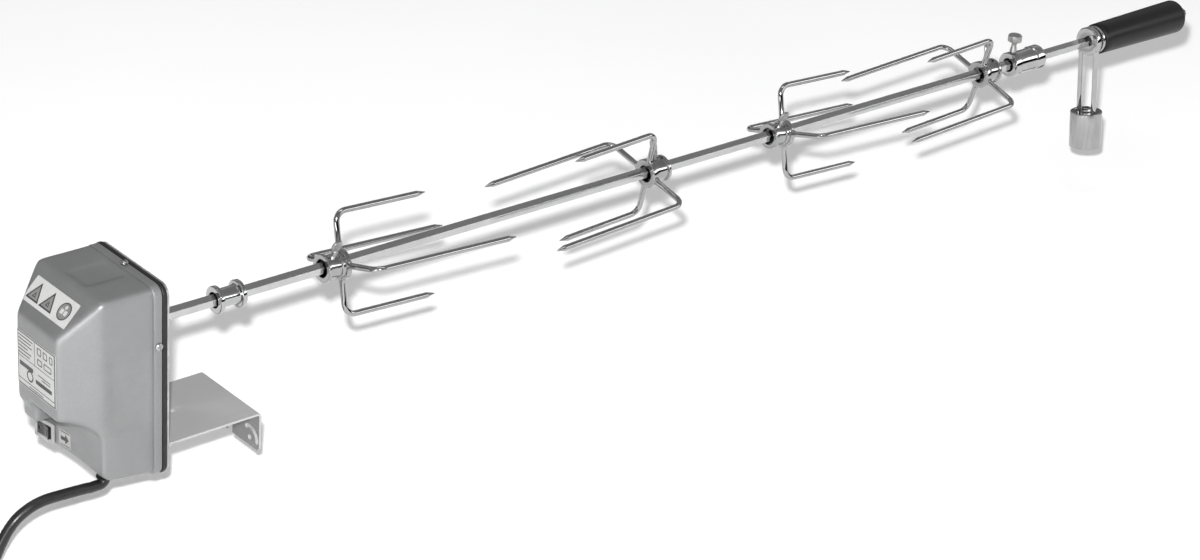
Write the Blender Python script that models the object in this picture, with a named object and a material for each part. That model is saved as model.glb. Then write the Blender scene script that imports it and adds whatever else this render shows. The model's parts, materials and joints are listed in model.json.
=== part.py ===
"""Rotisserie spit roaster: motor unit on its bracket, hexagonal spit rod, four forks, two bushes, counterweight and handle.

Frame: the origin is on the outer face of the bracket's flange, where it rests on the wall of the grill.
+X runs along the spit towards the handle, +Y is the far side, +Z is up.
All sizes are in millimetres and are turned into metres by MM.
"""
import math

import bmesh
import bpy
from mathutils import Matrix, Vector

MM = 0.001

# ---------------------------------------------------------------- sizes (mm)
GAP = 0.35                      # running gap between neighbouring pieces
FACETS = 0.7                    # coarseness of turned pieces

# spit
ROD_Z = 94.0                    # height of the spit's axis over the origin
ROD_AF = 9.5                    # hexagon, across flats
ROD_X0, ROD_X1 = -114.5, 992.0  # hexagonal length
TAIL_R = 4.0                    # round tail that carries the handle
TAIL_X1 = 1139.5

# motor housing
RIM_X = -94.0                   # open edge of the front cover
STRAIGHT_X = -143.5             # where the tapered nose starts
NOSE_X = -171.5                 # front face
HALF_W = 45.0                   # half width
TOP_Z, FOOT_Z, KNEE_Z, CHIN_Z = 145.0, 0.5, -5.0, -10.5
KNEE_X = -137.5                 # the underside turns here
NOSE_HALF_W = 28.0
NOSE_TOP_Z = 117.0
WALL = 2.5
RIM_OUT, RIM_DEEP = 1.8, 6.5
CORNER_R = 4.2
RIM_R = 9.0
COVE_X = -144.2                 # lower front wall, set back under the nose
COVE_Z, COVE_RZ = 29.0, 18.5    # where the cove starts and how high it rises
LEG_Y = 13.0                    # the cove stops here, the far leg stays

GASKET_X0, GASKET_X1 = -93.7, -90.1
PLATE_X0, PLATE_X1 = -89.8, -88.2
TAB_W, TAB_L = 14.0, 12.0

# bracket
BRACKET_T = 2.0
BRACKET_X0, BRACKET_X1 = -87.9, 0.0
BRACKET_HALF_W = 39.5
BRACKET_TOP_Z = 9.0
FLANGE_Z, REAR_TAB_Z = -25.0, -8.0
EAR_HOLE_Y, EAR_HOLE_Z, EAR_HOLE_R = 27.0, -18.0, 2.3
EAR_SLOT_R, EAR_SLOT_HALF = 9.5, 1.9
NOTCH_HALF, NOTCH_Z = 3.0, -12.5

# gear train: tooth numbers, modules and positions (y, z)
PRESSURE = math.radians(25.0)
T_OUT, T_PIN2, MOD_C = 30, 10, 1.85
T_BIG, T_PIN, MOD_AB = 30, 10, 1.2
OUT_YZ = (0.0, ROD_Z)
G2_YZ = (0.0, ROD_Z - MOD_C * (T_OUT + T_PIN2) / 2)
G1_YZ = (0.0, G2_YZ[1] - MOD_AB * (T_BIG + T_PIN) / 2)
PIN_DIR = math.radians(120.0)
PIN_STEP = MOD_AB * (T_BIG + T_PIN) / 2
PIN_YZ = (G1_YZ[0] + PIN_STEP * math.cos(PIN_DIR), G1_YZ[1] + PIN_STEP * math.sin(PIN_DIR))
BACKLASH = 0.34
AXLE_R = 1.6
FRAME_X0, FRAME_X1 = -124.0, -122.4
FRAME_HALF_W, FRAME_Z0, FRAME_Z1 = 33.0, 12.0, 122.0
POSTS = ((-28.0, 17.5), (28.0, 17.5), (-28.0, 117.0), (28.0, 117.0))

# forks: x of the tine plane, side the tines face, drop, roll and droop in degrees
FORKS = (
    ("fork_1", 99.8, 1, -1.2, 16.5, 3.0, -20.0),
    ("fork_2", 420.7, -1, -1.2, -12.2, 3.0, 14.0),
    ("fork_3", 581.7, 1, -1.2, 16.4, 3.0, -22.0),
    ("fork_4", 839.7, -1, -1.2, -15.8, 2.6, 12.0),
)
HUB_R, HUB_BORE_R, HUB_L = 9.8, 7.3, 21.0
FLANGE_R, END_R = 12.8, 11.6
TINE_R = 2.5
LONG_R, LONG_L = 48.3, 139.0
SHORT_R, SHORT_L = 41.6, 88.5
BEND_R = 9.0
SCREW_BACK = 10.8               # fork screw behind the tine plane

# counterweight
YOKE_X0, YOKE_X1 = 993.6, 1000.0
YOKE_R = 14.0
LEG_R, LEG_HALF = 2.6, 9.0
WEIGHT_R, WEIGHT_TOP, WEIGHT_END = 15.7, 71.0, 107.0
WEIGHT_TILT = math.radians(8.0)

# handle
FERRULE_X0, FERRULE_X1 = 1000.6, 1006.2
GRIP_X0, GRIP_X1 = 1006.8, 1126.5
GRIP_R0, GRIP_R1 = 15.0, 16.6

# cord
CORD_R = 4.2
GLAND_X, GLAND_Y = -133.0, -30.0
CORD_Z = -13.4


# ---------------------------------------------------------------- helpers
for old in list(bpy.data.objects):
    bpy.data.objects.remove(old, do_unlink=True)

SCENE = bpy.context.scene.collection


def material(name, colour, rough, metal):
    mat = bpy.data.materials.new(name)
    mat.use_nodes = True
    bsdf = mat.node_tree.nodes["Principled BSDF"]
    bsdf.inputs["Base Color"].default_value = (*colour, 1.0)
    bsdf.inputs["Roughness"].default_value = rough
    bsdf.inputs["Metallic"].default_value = metal
    mat.diffuse_color = (*colour, 1.0)
    return mat


LOOKS = {
    "cover": ((0.235, 0.24, 0.245), 0.42, 0.0),
    "rubber": ((0.012, 0.012, 0.013), 0.6, 0.0),
    "steel": ((0.46, 0.46, 0.45), 0.38, 1.0),
    "chrome": ((0.62, 0.62, 0.62), 0.12, 1.0),
    "satin": ((0.5, 0.5, 0.49), 0.3, 1.0),
    "cast": ((0.34, 0.34, 0.34), 0.45, 1.0),
    "black": ((0.015, 0.015, 0.016), 0.32, 0.0),
    "brass": ((0.62, 0.44, 0.17), 0.3, 1.0),
    "nylon": ((0.72, 0.7, 0.64), 0.5, 0.0),
    "bronze": ((0.42, 0.27, 0.14), 0.45, 1.0),
    "label": ((0.62, 0.62, 0.61), 0.5, 0.0),
    "zinc": ((0.55, 0.55, 0.54), 0.33, 1.0),
}


def node(name, bm, look, at=(0, 0, 0), turn=None, smooth=35.0, parent=None):
    """One named object from a bmesh in millimetres about its own origin."""
    bmesh.ops.remove_doubles(bm, verts=bm.verts, dist=1e-4)
    bmesh.ops.recalc_face_normals(bm, faces=bm.faces)
    bmesh.ops.scale(bm, vec=(MM, MM, MM), verts=bm.verts)
    for f in bm.faces:
        f.smooth = True
    for e in bm.edges:
        e.smooth = not (len(e.link_faces) == 2 and e.calc_face_angle(0.0) > math.radians(smooth))
    mesh = bpy.data.meshes.new(name)
    bm.to_mesh(mesh)
    bm.free()
    ob = bpy.data.objects.new(name, mesh)
    ob.data.materials.append(material(name + "_finish", *LOOKS[look]))
    SCENE.objects.link(ob)
    ob.location = Vector(at) * MM
    if turn is not None:
        ob.rotation_euler = turn.to_euler() if isinstance(turn, Matrix) else turn
    if parent is not None:
        ob.parent = parent
    return ob


def empty(name, at, turn=None, parent=None):
    ob = bpy.data.objects.new(name, None)
    ob.empty_display_size = 0.01
    SCENE.objects.link(ob)
    ob.location = Vector(at) * MM
    if turn is not None:
        ob.rotation_euler = turn.to_euler()
    if parent is not None:
        ob.parent = parent
    return ob


def skin(bm, rings, close=True):
    """Faces between equal rings of points, with both ends capped."""
    loops = [[bm.verts.new(p) for p in ring] for ring in rings]
    for a, b in zip(loops, loops[1:]):
        for i in range(len(a)):
            j = (i + 1) % len(a)
            bm.faces.new((a[i], a[j], b[j], b[i]))
    if close:
        bm.faces.new(list(reversed(loops[0])))
        bm.faces.new(loops[-1])
    return loops


def lathe(profile, seg=20, axis="X"):
    """Closed ring profile of (along, radius) turned about an axis; radius 0 makes a pole."""
    seg = max(8, 2 * round(seg * FACETS / 2))
    bm = bmesh.new()
    rings = []
    for a, r in profile:
        if r < 1e-6:
            rings.append([bm.verts.new((a, 0, 0))])
        else:
            rings.append([
                bm.verts.new((a, r * math.cos(2 * math.pi * k / seg), r * math.sin(2 * math.pi * k / seg)))
                for k in range(seg)
            ])
    n = len(rings)
    pairs = list(zip(rings, rings[1:]))
    if len(rings[0]) > 1 and len(rings[-1]) > 1:
        pairs.append((rings[n - 1], rings[0]))
    for a, b in pairs:
        for k in range(seg):
            j = (k + 1) % seg
            if len(a) == 1 and len(b) == 1:
                continue
            if len(a) == 1:
                bm.faces.new((a[0], b[j], b[k]))
            elif len(b) == 1:
                bm.faces.new((a[k], a[j], b[0]))
            else:
                bm.faces.new((a[k], a[j], b[j], b[k]))
    if axis == "Z":
        bmesh.ops.rotate(bm, cent=(0, 0, 0), matrix=Matrix.Rotation(-math.pi / 2, 3, "Y"), verts=bm.verts)
    elif axis == "Y":
        bmesh.ops.rotate(bm, cent=(0, 0, 0), matrix=Matrix.Rotation(math.pi / 2, 3, "Z"), verts=bm.verts)
    bmesh.ops.recalc_face_normals(bm, faces=bm.faces)
    return bm


def prism(points, low, high, axis="X"):
    """A polygon of (a, b) pairs pushed along an axis: X takes (y, z), Y takes (x, z), Z takes (x, y)."""
    put = {
        "X": lambda a, b, t: (t, a, b),
        "Y": lambda a, b, t: (a, t, b),
        "Z": lambda a, b, t: (a, b, t),
    }[axis]
    bm = bmesh.new()
    skin(bm, [[put(a, b, low) for a, b in points], [put(a, b, high) for a, b in points]])
    bmesh.ops.recalc_face_normals(bm, faces=bm.faces)
    return bm


def ringed(outer, inner, low, high):
    """A plate between two outlines with equal counts of (y, z) points, pushed along X."""
    bm = bmesh.new()
    rows = []
    for pts, x in ((outer, low), (outer, high), (inner, high), (inner, low)):
        rows.append([bm.verts.new((x, y, z)) for y, z in pts])
    n = len(outer)
    for a, b in zip(rows, rows[1:] + rows[:1]):
        for i in range(n):
            j = (i + 1) % n
            bm.faces.new((a[i], a[j], b[j], b[i]))
    bmesh.ops.recalc_face_normals(bm, faces=bm.faces)
    return bm


def box(x0, x1, y0, y1, z0, z1):
    return prism([(y0, z0), (y1, z0), (y1, z1), (y0, z1)], x0, x1)


def rounded(y0, y1, z0, z1, r, n=3):
    """Outline of a rectangle with round corners, n steps to a corner."""
    pts = []
    for cy, cz, start in ((y1 - r, z1 - r, 0), (y0 + r, z1 - r, 90), (y0 + r, z0 + r, 180), (y1 - r, z0 + r, 270)):
        for k in range(n + 1):
            t = math.radians(start + 90 * k / n)
            pts.append((cy + r * math.cos(t), cz + r * math.sin(t)))
    return pts


def circle(r, n, cy=0.0, cz=0.0, phase=0.0):
    return [(cy + r * math.cos(phase + 2 * math.pi * k / n), cz + r * math.sin(phase + 2 * math.pi * k / n)) for k in range(n)]


def sweep(path, radii, sides=10, tip=False):
    """A round bar along a path; with tip the last point is a sharp end."""
    bm = bmesh.new()
    pts = [Vector(p) for p in path]
    tangents = []
    for i in range(len(pts)):
        a = pts[max(i - 1, 0)]
        b = pts[min(i + 1, len(pts) - 1)]
        tangents.append((b - a).normalized())
    side = tangents[0].orthogonal().normalized()
    rings = []
    for i, (p, t) in enumerate(zip(pts, tangents)):
        if i:
            side = (side - t * side.dot(t)).normalized()
        other = t.cross(side)
        if tip and i == len(pts) - 1:
            rings.append([bm.verts.new(p)])
            continue
        rings.append([
            bm.verts.new(p + (side * math.cos(2 * math.pi * k / sides) + other * math.sin(2 * math.pi * k / sides)) * radii[i])
            for k in range(sides)
        ])
    for a, b in zip(rings, rings[1:]):
        for k in range(sides):
            j = (k + 1) % sides
            if len(b) == 1:
                bm.faces.new((a[k], a[j], b[0]))
            else:
                bm.faces.new((a[k], a[j], b[j], b[k]))
    bm.faces.new(list(reversed(rings[0])))
    if len(rings[-1]) > 1:
        bm.faces.new(rings[-1])
    bmesh.ops.recalc_face_normals(bm, faces=bm.faces)
    return bm


def combine(base, tools, how):
    """Boolean of bmeshes with the exact solver; the tools are used up."""
    obs = []
    for i, bm in enumerate([base] + list(tools)):
        mesh = bpy.data.meshes.new("work")
        bmesh.ops.recalc_face_normals(bm, faces=bm.faces)
        bm.to_mesh(mesh)
        bm.free()
        ob = bpy.data.objects.new("work", mesh)
        SCENE.objects.link(ob)
        obs.append(ob)
    for tool in obs[1:]:
        mod = obs[0].modifiers.new("cut", "BOOLEAN")
        mod.operation = how
        mod.solver = "EXACT"
        mod.object = tool
    graph = bpy.context.evaluated_depsgraph_get()
    graph.update()
    shaped = bpy.data.meshes.new_from_object(obs[0].evaluated_get(graph))
    out = bmesh.new()
    out.from_mesh(shaped)
    bpy.data.meshes.remove(shaped)
    for ob in obs:
        mesh = ob.data
        bpy.data.objects.remove(ob, do_unlink=True)
        bpy.data.meshes.remove(mesh)
    bmesh.ops.remove_doubles(out, verts=out.verts, dist=1e-4)
    bmesh.ops.dissolve_degenerate(out, edges=out.edges, dist=1e-4)
    return out


def cut(base, *tools):
    return combine(base, tools, "DIFFERENCE")


def weld(base, *tools):
    return combine(base, tools, "UNION")


def moved(bm, by=(0, 0, 0), turn=None, about=(0, 0, 0)):
    if turn is not None:
        bmesh.ops.rotate(bm, cent=about, matrix=turn, verts=bm.verts)
    bmesh.ops.translate(bm, vec=by, verts=bm.verts)
    return bm


def bend_line(points, r, n=5):
    """A polyline with its inner corners rounded."""
    pts = [Vector(p) for p in points]
    out = [pts[0]]
    for a, b, c in zip(pts, pts[1:], pts[2:]):
        u, v = (a - b).normalized(), (c - b).normalized()
        angle = u.angle(v)
        back = min(r / math.tan(angle / 2), (a - b).length * 0.49, (c - b).length * 0.49)
        rr = back * math.tan(angle / 2)
        centre = b + (u + v).normalized() * (rr / math.sin(angle / 2))
        start, stop = b + u * back - centre, b + v * back - centre
        full = start.angle(stop)
        axis = start.cross(stop).normalized()
        for k in range(n + 1):
            out.append(centre + Matrix.Rotation(full * k / n, 3, axis) @ start)
    out.append(pts[-1])
    return out


# ---------------------------------------------------------------- motor unit
def chin(x):
    """Height of the cover's underside at x: it falls towards the rim."""
    if x > KNEE_X:
        return CHIN_Z + (KNEE_Z - CHIN_Z) * min(max((RIM_X - x) / (RIM_X - KNEE_X), 0.0), 1.0)
    return KNEE_Z + (FOOT_Z - KNEE_Z) * min((KNEE_X - x) / (KNEE_X - STRAIGHT_X), 1.0)


def housing(inset, front, rear, cove):
    """The cover's solid shape, drawn in by inset."""
    r = max(CORNER_R - inset, 2.0)
    rings = []

    def ring(x, out=0.0):
        k = out - inset
        pts = rounded(-HALF_W - k, HALF_W + k, chin(x) - k, TOP_Z + k * (0.6 if out else 1.0), RIM_R if out else r)
        rings.append([(x, y, z) for y, z in pts])

    if inset:
        ring(rear)
    else:
        ring(RIM_X, RIM_OUT)
        ring(RIM_X - RIM_DEEP, RIM_OUT)
        ring(RIM_X - RIM_DEEP - 1.2, 0.0)
    ring(KNEE_X)
    ring(STRAIGHT_X)
    share = 0.07
    y = HALF_W + (NOSE_HALF_W - HALF_W) * share - inset
    top = TOP_Z + (NOSE_TOP_Z - TOP_Z) * share - inset
    x = STRAIGHT_X + (NOSE_X - STRAIGHT_X) * share
    rings.append([(x, a, b) for a, b in rounded(-y, y, FOOT_Z + inset, top, r)])
    k = inset * 0.75
    for x, grow in ((NOSE_X + 2.2, 0.9), (NOSE_X + inset, -1.0)):
        if inset and x < NOSE_X + inset + 0.01 and grow > 0:
            continue
        pts = rounded(-NOSE_HALF_W - grow + k, NOSE_HALF_W + grow - k, FOOT_Z + inset, NOSE_TOP_Z + grow - k, max(r - 1.0, 2.0))
        rings.append([(x, a, b) for a, b in pts])
    if inset:
        rings = [rg for rg in rings if rg[0][0] > NOSE_X + inset - 0.01]
        rings.sort(key=lambda rg: -rg[0][0])
    bm = bmesh.new()
    skin(bm, rings)
    # the lower front is cut back under the nose: a cove on the near side and middle
    wall_x = COVE_X + cove
    line = [(NOSE_X - 10, FOOT_Z - 20), (wall_x, FOOT_Z - 20), (wall_x, COVE_Z)]
    rx, rz = wall_x - NOSE_X, COVE_RZ + cove
    for k in range(1, 9):
        t = math.radians(90 * k / 8)
        line.append((NOSE_X + rx * math.cos(t), COVE_Z + rz * math.sin(t)))
    line.append((NOSE_X - 10, COVE_Z + rz))
    low = prism(line, -HALF_W - 20, LEG_Y + cove, "Y")
    leg = [(NOSE_X - 10, FOOT_Z - 20), (wall_x, FOOT_Z - 20), (wall_x, 26.0 + cove), (NOSE_X + 6.0 + cove, 26.0 + cove),
           (NOSE_X + 6.0 + cove, 37.0 + cove), (NOSE_X + 0.4 + cove, 45.0 + cove), (NOSE_X - 10, 45.0 + cove)]
    far = prism(leg, LEG_Y - 0.5, HALF_W + 20, "Y")
    bm = cut(bm, low, far)
    # wedge on the lower wall that carries the switch
    k = inset
    pad = prism([(COVE_X + 4 + k, PAD_FAR_Y - k), (PAD_X + 1.2 + k, PAD_FAR_Y - k), (PAD_X + k, PAD_FAR_Y - 2.5 - k), (COVE_X - 0.1 + k, PAD_NEAR_Y - k), (COVE_X + 4 + k, PAD_NEAR_Y - k)],
                FOOT_Z + 0.4 + k, PAD_TOP_Z - k, "Z")
    return weld(bm, pad)


SCREW_SPOTS = (  # on the rim: centre (y, z) and outward direction
    ("cover_screw_top", (0.0, TOP_Z + RIM_OUT), (0.0, 1.0)),
    ("cover_screw_near", (-HALF_W - RIM_OUT, 98.0), (-1.0, 0.0)),
    ("cover_screw_far", (HALF_W + RIM_OUT, 98.0), (1.0, 0.0)),
    ("cover_screw_bottom", (0.0, CHIN_Z - RIM_OUT), (0.0, -1.0)),
)
SCREW_X = RIM_X - 2.9

PAD_X, PAD_FAR_Y, PAD_NEAR_Y, PAD_TOP_Z = -151.2, 41.5, -8.0, 22.0
PAD_TURN = math.atan2(COVE_X - 0.1 - PAD_X, PAD_FAR_Y - 2.5 - PAD_NEAR_Y)


def on_pad(y):
    """x of the wedge's face at y."""
    return PAD_X + (PAD_FAR_Y - 2.5 - y) * math.tan(PAD_TURN)


ROCKER_Y, ROCKER_Z = 26.5, 10.6
ROCKER_W, ROCKER_H = 22.0, 17.0


def along(direction):
    """Rotation that takes +X to a direction in the YZ plane."""
    return Matrix.Rotation(math.atan2(direction[1], direction[0]), 3, "X") @ Matrix.Rotation(math.pi / 2, 3, "Z")


outer = housing(0.0, NOSE_X, RIM_X, 0.0)
inner = housing(WALL, NOSE_X + WALL, RIM_X + 2.0, WALL)
tools = [inner]
# rocker opening, cord hole, shallow recesses for the screwdriver and the fingers
PAD_M = Matrix.Rotation(PAD_TURN, 3, "Z")
SWITCH_AT = (on_pad(ROCKER_Y), ROCKER_Y, ROCKER_Z)
tools.append(moved(box(-6, 12, -9.6, 9.6, -6.9, 6.9), SWITCH_AT, PAD_M))
tools.append(moved(lathe([(-25, 0), (-25, 5.9), (12, 5.9), (12, 0)], 16, "Z"), (GLAND_X, GLAND_Y, 0)))
tools.append(prism([(-14, TOP_Z - 1.3), (14, TOP_Z - 1.3), (15.5, TOP_Z + 2), (-15.5, TOP_Z + 2)], -138.0, RIM_X - RIM_DEEP - 2.5))
for s in (-1, 1):
    y = s * (HALF_W - 0.6)
    tools.append(prism([(y, 35.0), (s * (HALF_W + 2), 33.5), (s * (HALF_W + 2), 98.5), (y, 97.0)], -136.0, RIM_X - RIM_DEEP - 2.5))
for name, (y, z), d in SCREW_SPOTS:
    hole = lathe([(-12, 0), (-12, 1.9), (4, 1.9), (4, 0)], 10)
    tools.append(moved(hole, (SCREW_X, y, z), along(d)))
node("front_cover", cut(outer, *tools), "cover", smooth=24)

rim_outline = rounded(-HALF_W - 2.0, HALF_W + 2.0, CHIN_Z - 2.0, TOP_Z + 0.6, RIM_R, 5)
gasket_outer = rounded(-HALF_W - 2.7, HALF_W + 2.7, CHIN_Z - 2.3, TOP_Z + 1.3, RIM_R + 0.5, 5)
gasket_inner = rounded(-HALF_W + 4.0, HALF_W - 4.0, CHIN_Z + 4.0, TOP_Z - 4.0, RIM_R - 4, 5)
node("cover_gasket", ringed(gasket_outer, gasket_inner, GASKET_X0, GASKET_X1), "rubber")

# back plate with four forward tabs that take the cover screws
plate = prism(rim_outline, PLATE_X0, PLATE_X1)
tabs = []
for name, (y, z), d in SCREW_SPOTS:
    far = 4.9 + RIM_OUT + 1.6
    if d[0]:
        y0 = d[0] * (HALF_W + RIM_OUT - far)
        tab = box(PLATE_X0 - TAB_L, PLATE_X0 + 0.8, min(y0, y0 + d[0] * 1.6), max(y0, y0 + d[0] * 1.6), z - TAB_W / 2, z + TAB_W / 2)
    else:
        z0 = z - d[1] * far
        tab = box(PLATE_X0 - TAB_L, PLATE_X0 + 0.8, -TAB_W / 2, TAB_W / 2, min(z0, z0 + d[1] * 1.6), max(z0, z0 + d[1] * 1.6))
    tabs.append(tab)
plate = weld(plate, *tabs)
holes = [moved(lathe([(-8, 0), (-8, 12.4), (8, 12.4), (8, 0)], 24), (PLATE_X0, 0, ROD_Z))]
for y, z in POSTS:
    holes.append(moved(lathe([(-6, 0), (-6, 2.4), (6, 2.4), (6, 0)], 10), (PLATE_X0, y, z)))
for y, z in (G1_YZ, G2_YZ):
    holes.append(moved(lathe([(-6, 0), (-6, AXLE_R + GAP), (6, AXLE_R + GAP), (6, 0)], 10), (PLATE_X0, y, z)))
for y in (-25.0, 25.0):
    holes.append(moved(lathe([(-6, 0), (-6, 2.4), (6, 2.4), (6, 0)], 10), (PLATE_X0, y, 0.0)))
for name, (y, z), d in SCREW_SPOTS:
    holes.append(moved(lathe([(-14, 0), (-14, 1.75), (0, 1.75), (0, 0)], 10), (SCREW_X, y, z), along(d)))
node("back_plate", cut(plate, *holes), "zinc", smooth=30)

for name, (y, z), d in SCREW_SPOTS:
    bm = lathe([(-11.0, 0), (-11.0, 1.0), (-10.2, 1.4), (0.3, 1.4), (0.3, 3.1), (1.3, 2.9), (2.0, 1.9), (2.2, 0)], 10)
    bm = cut(bm, box(1.3, 4, -3.5, 3.5, -0.4, 0.4))
    node(name, bm, "steel", at=(SCREW_X, y, z), turn=along(d))


# ---------------------------------------------------------------- gear train
def gear_outline(teeth, module, phase):
    """Involute teeth with a tooth centred on the angle phase, thinned for backlash."""
    pitch = teeth * module / 2
    base = pitch * math.cos(PRESSURE)
    tip = pitch + 0.8 * module
    root = pitch - 1.12 * module
    inv = lambda r: math.tan(math.acos(min(base / r, 1.0))) - math.acos(min(base / r, 1.0)) if r > base else 0.0
    half = (math.pi * module / 2 - BACKLASH) / (2 * pitch) + inv(pitch)
    start = max(base, root + 0.02)
    radii = [start + (tip - start) * t for t in ((0.0, 1.0) if teeth > 20 else (0.0, 0.5, 1.0))]
    pts = []
    for i in range(teeth):
        mid = phase + 2 * math.pi * i / teeth
        left = [(r, mid - (half - inv(r))) for r in radii]
        right = [(r, mid + (half - inv(r))) for r in reversed(radii)]
        if root < start - 0.05:
            left.insert(0, (root, left[0][1]))
            right.append((root, right[-1][1]))
        pts += left + right
    return [(r * math.cos(a), r * math.sin(a)) for r, a in pts]


def gear_prism(teeth, module, phase, x0, x1):
    return prism(gear_outline(teeth, module, phase), x0, x1)


def toward(a, b):
    return math.atan2(b[1] - a[1], b[0] - a[0])


X_C = (-108.0, -99.5)    # output stage
X_B = (-114.2, -109.6)   # middle stage
X_A = (-120.4, -115.8)   # motor stage

out_phase = toward(OUT_YZ, G2_YZ)
pin2_phase = toward(G2_YZ, OUT_YZ) + math.pi / T_PIN2
big2_phase = toward(G2_YZ, G1_YZ)
pin1_phase = toward(G1_YZ, G2_YZ) + math.pi / T_PIN
big1_phase = toward(G1_YZ, PIN_YZ)
pin0_phase = toward(PIN_YZ, G1_YZ) + math.pi / T_PIN

# output: a socket with a hexagonal bore, and its gear
HEX = lambda af: circle(af / math.sqrt(3), 6, 0, 0, math.pi / 2)
socket = lathe([(-121.6, 0), (-121.6, 6.8), (-115.4, 6.8), (-115.4, 8.0), (PLATE_X0 - 6.0, 8.0), (PLATE_X0 - 6.0, 9.5), (PLATE_X0 - 2.0, 9.5), (PLATE_X0 - 2.0, 8.0), (-82.4, 8.0), (-81.6, 7.3), (-81.6, 0)], 24)
socket = cut(socket, prism(HEX(ROD_AF + 2 * 0.4), -116.0, -70.0))
node("drive_socket", socket, "steel", at=(0, 0, ROD_Z))
ring = gear_prism(T_OUT, MOD_C, out_phase, X_C[0], X_C[1])
ring = cut(ring, lathe([(-130, 0), (-130, 8.0 + GAP), (-80, 8.0 + GAP), (-80, 0)], 24))
node("output_gear", ring, "steel", at=(0, 0, ROD_Z), smooth=40)

def compound(name, yz, big_phase, big_x, small, small_mod, small_phase, small_x, look):
    bm = gear_prism(T_BIG, MOD_AB, big_phase, *big_x)
    bm = weld(bm, gear_prism(small, small_mod, small_phase, small_x[0] - (0.5 if small_x[0] > big_x[0] else 0), small_x[1]))
    lo, hi = min(big_x[0], small_x[0]) - 5, max(big_x[1], small_x[1]) + 5
    bm = cut(bm, lathe([(lo, 0), (lo, AXLE_R + GAP), (hi, AXLE_R + GAP), (hi, 0)], 10))
    node(name, bm, look, at=(0, yz[0], yz[1]), smooth=40)

compound("gear_2", G2_YZ, big2_phase, X_B, T_PIN2, MOD_C, pin2_phase, (X_B[1], X_C[1]), "nylon")
compound("gear_1", G1_YZ, big1_phase, X_A, T_PIN, MOD_AB, pin1_phase, (X_A[1], X_B[1]), "nylon")
pin = gear_prism(T_PIN, MOD_AB, pin0_phase, X_A[0], X_A[1])
pin = weld(pin, lathe([(-128.5, 0), (-128.5, 1.8), (-114.4, 1.8), (-114.4, 0)], 10))
node("motor_pinion", pin, "brass", at=(0, PIN_YZ[0], PIN_YZ[1]), smooth=40)
for name, yz in (("axle_1", G1_YZ), ("axle_2", G2_YZ)):
    node(name, lathe([(-124.4, 0), (-124.4, AXLE_R), (PLATE_X1 - 0.2, AXLE_R), (PLATE_X1 - 0.2, 0)], 10), "steel", at=(0, yz[0], yz[1]))

# gearbox frame plate, its posts, the bearings and the motor
frame = prism(rounded(-FRAME_HALF_W, FRAME_HALF_W, FRAME_Z0, FRAME_Z1, 5, 3), FRAME_X0, FRAME_X1)
holes = [moved(lathe([(-6, 0), (-6, 9.2), (6, 9.2), (6, 0)], 24), (FRAME_X0, 0, ROD_Z))]
for y, z in POSTS:
    holes.append(moved(lathe([(-6, 0), (-6, 2.4), (6, 2.4), (6, 0)], 10), (FRAME_X0, y, z)))
for y, z in (G1_YZ, G2_YZ):
    holes.append(moved(lathe([(-6, 0), (-6, AXLE_R + GAP), (6, AXLE_R + GAP), (6, 0)], 10), (FRAME_X0, y, z)))
holes.append(moved(lathe([(-6, 0), (-6, 5.0), (6, 5.0), (6, 0)], 20), (FRAME_X0, PIN_YZ[0], PIN_YZ[1])))
node("gearbox_plate", cut(frame, *holes), "zinc", smooth=30)
for i, (y, z) in enumerate(POSTS, 1):
    post = lathe([(FRAME_X0 - 2.2, 0), (FRAME_X0 - 2.2, 1.7), (FRAME_X0 - 1.8, 2.0), (FRAME_X1 + GAP, 2.0), (FRAME_X1 + GAP, 3.4),
                  (PLATE_X0 - GAP, 3.4), (PLATE_X0 - GAP, 2.0), (PLATE_X1 - 0.2, 2.0), (PLATE_X1 - 0.2, 0)], 10)
    node("gearbox_post_%d" % i, post, "steel", at=(0, y, z))
node("output_bearing", lathe([(PLATE_X0 - 1.6, 8.0 + GAP), (PLATE_X0 - 1.6, 13.8), (PLATE_X0 - 0.35, 13.8), (PLATE_X0 - 0.35, 12.0), (PLATE_X1 + 0.2, 12.0), (PLATE_X1 + 0.2, 8.0 + GAP)], 24), "bronze", at=(0, 0, ROD_Z))
node("inner_bearing", lathe([(-124.8, 6.8 + GAP), (-124.8, 8.8), (-122.0, 8.8), (-122.0, 10.6), (-120.9, 10.6), (-120.9, 6.8 + GAP)], 24), "bronze", at=(0, 0, ROD_Z))
can = lathe([(-141.0, 0), (-141.0, 18.6), (-140.2, 19.4), (-125.0, 19.4), (-125.0, 4.4), (-122.6, 4.4), (-122.6, 2.3), (-130.0, 2.3), (-130.0, 0)], 24)
node("motor_can", can, "zinc", at=(0, PIN_YZ[0], PIN_YZ[1]))

# ---------------------------------------------------------------- switch and labels
bezel = box(-2.0, -0.3, -ROCKER_W / 2, ROCKER_W / 2, -ROCKER_H / 2, ROCKER_H / 2)
body = box(-0.6, 12.0, -9.2, 9.2, -6.5, 6.5)
pocket = box(-4.0, 8.0, -8.2, 8.2, -5.5, 5.5)
node("switch_frame", cut(weld(bezel, body), pocket), "black", at=SWITCH_AT, turn=PAD_M, smooth=30)
V = 8.0
half = 7.3
rock = [(-2.9, -half), (-1.5, 0), (-2.9, half), (1.0, half - 0.3), (4.6, 2.2), (4.6, -2.2), (1.0, -half + 0.3)]
node("rocker", prism(rock, -5.0, 5.0, "Z"), "black", at=SWITCH_AT, turn=PAD_M @ Matrix.Rotation(math.radians(-V), 3, "Z"), smooth=30)

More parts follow.
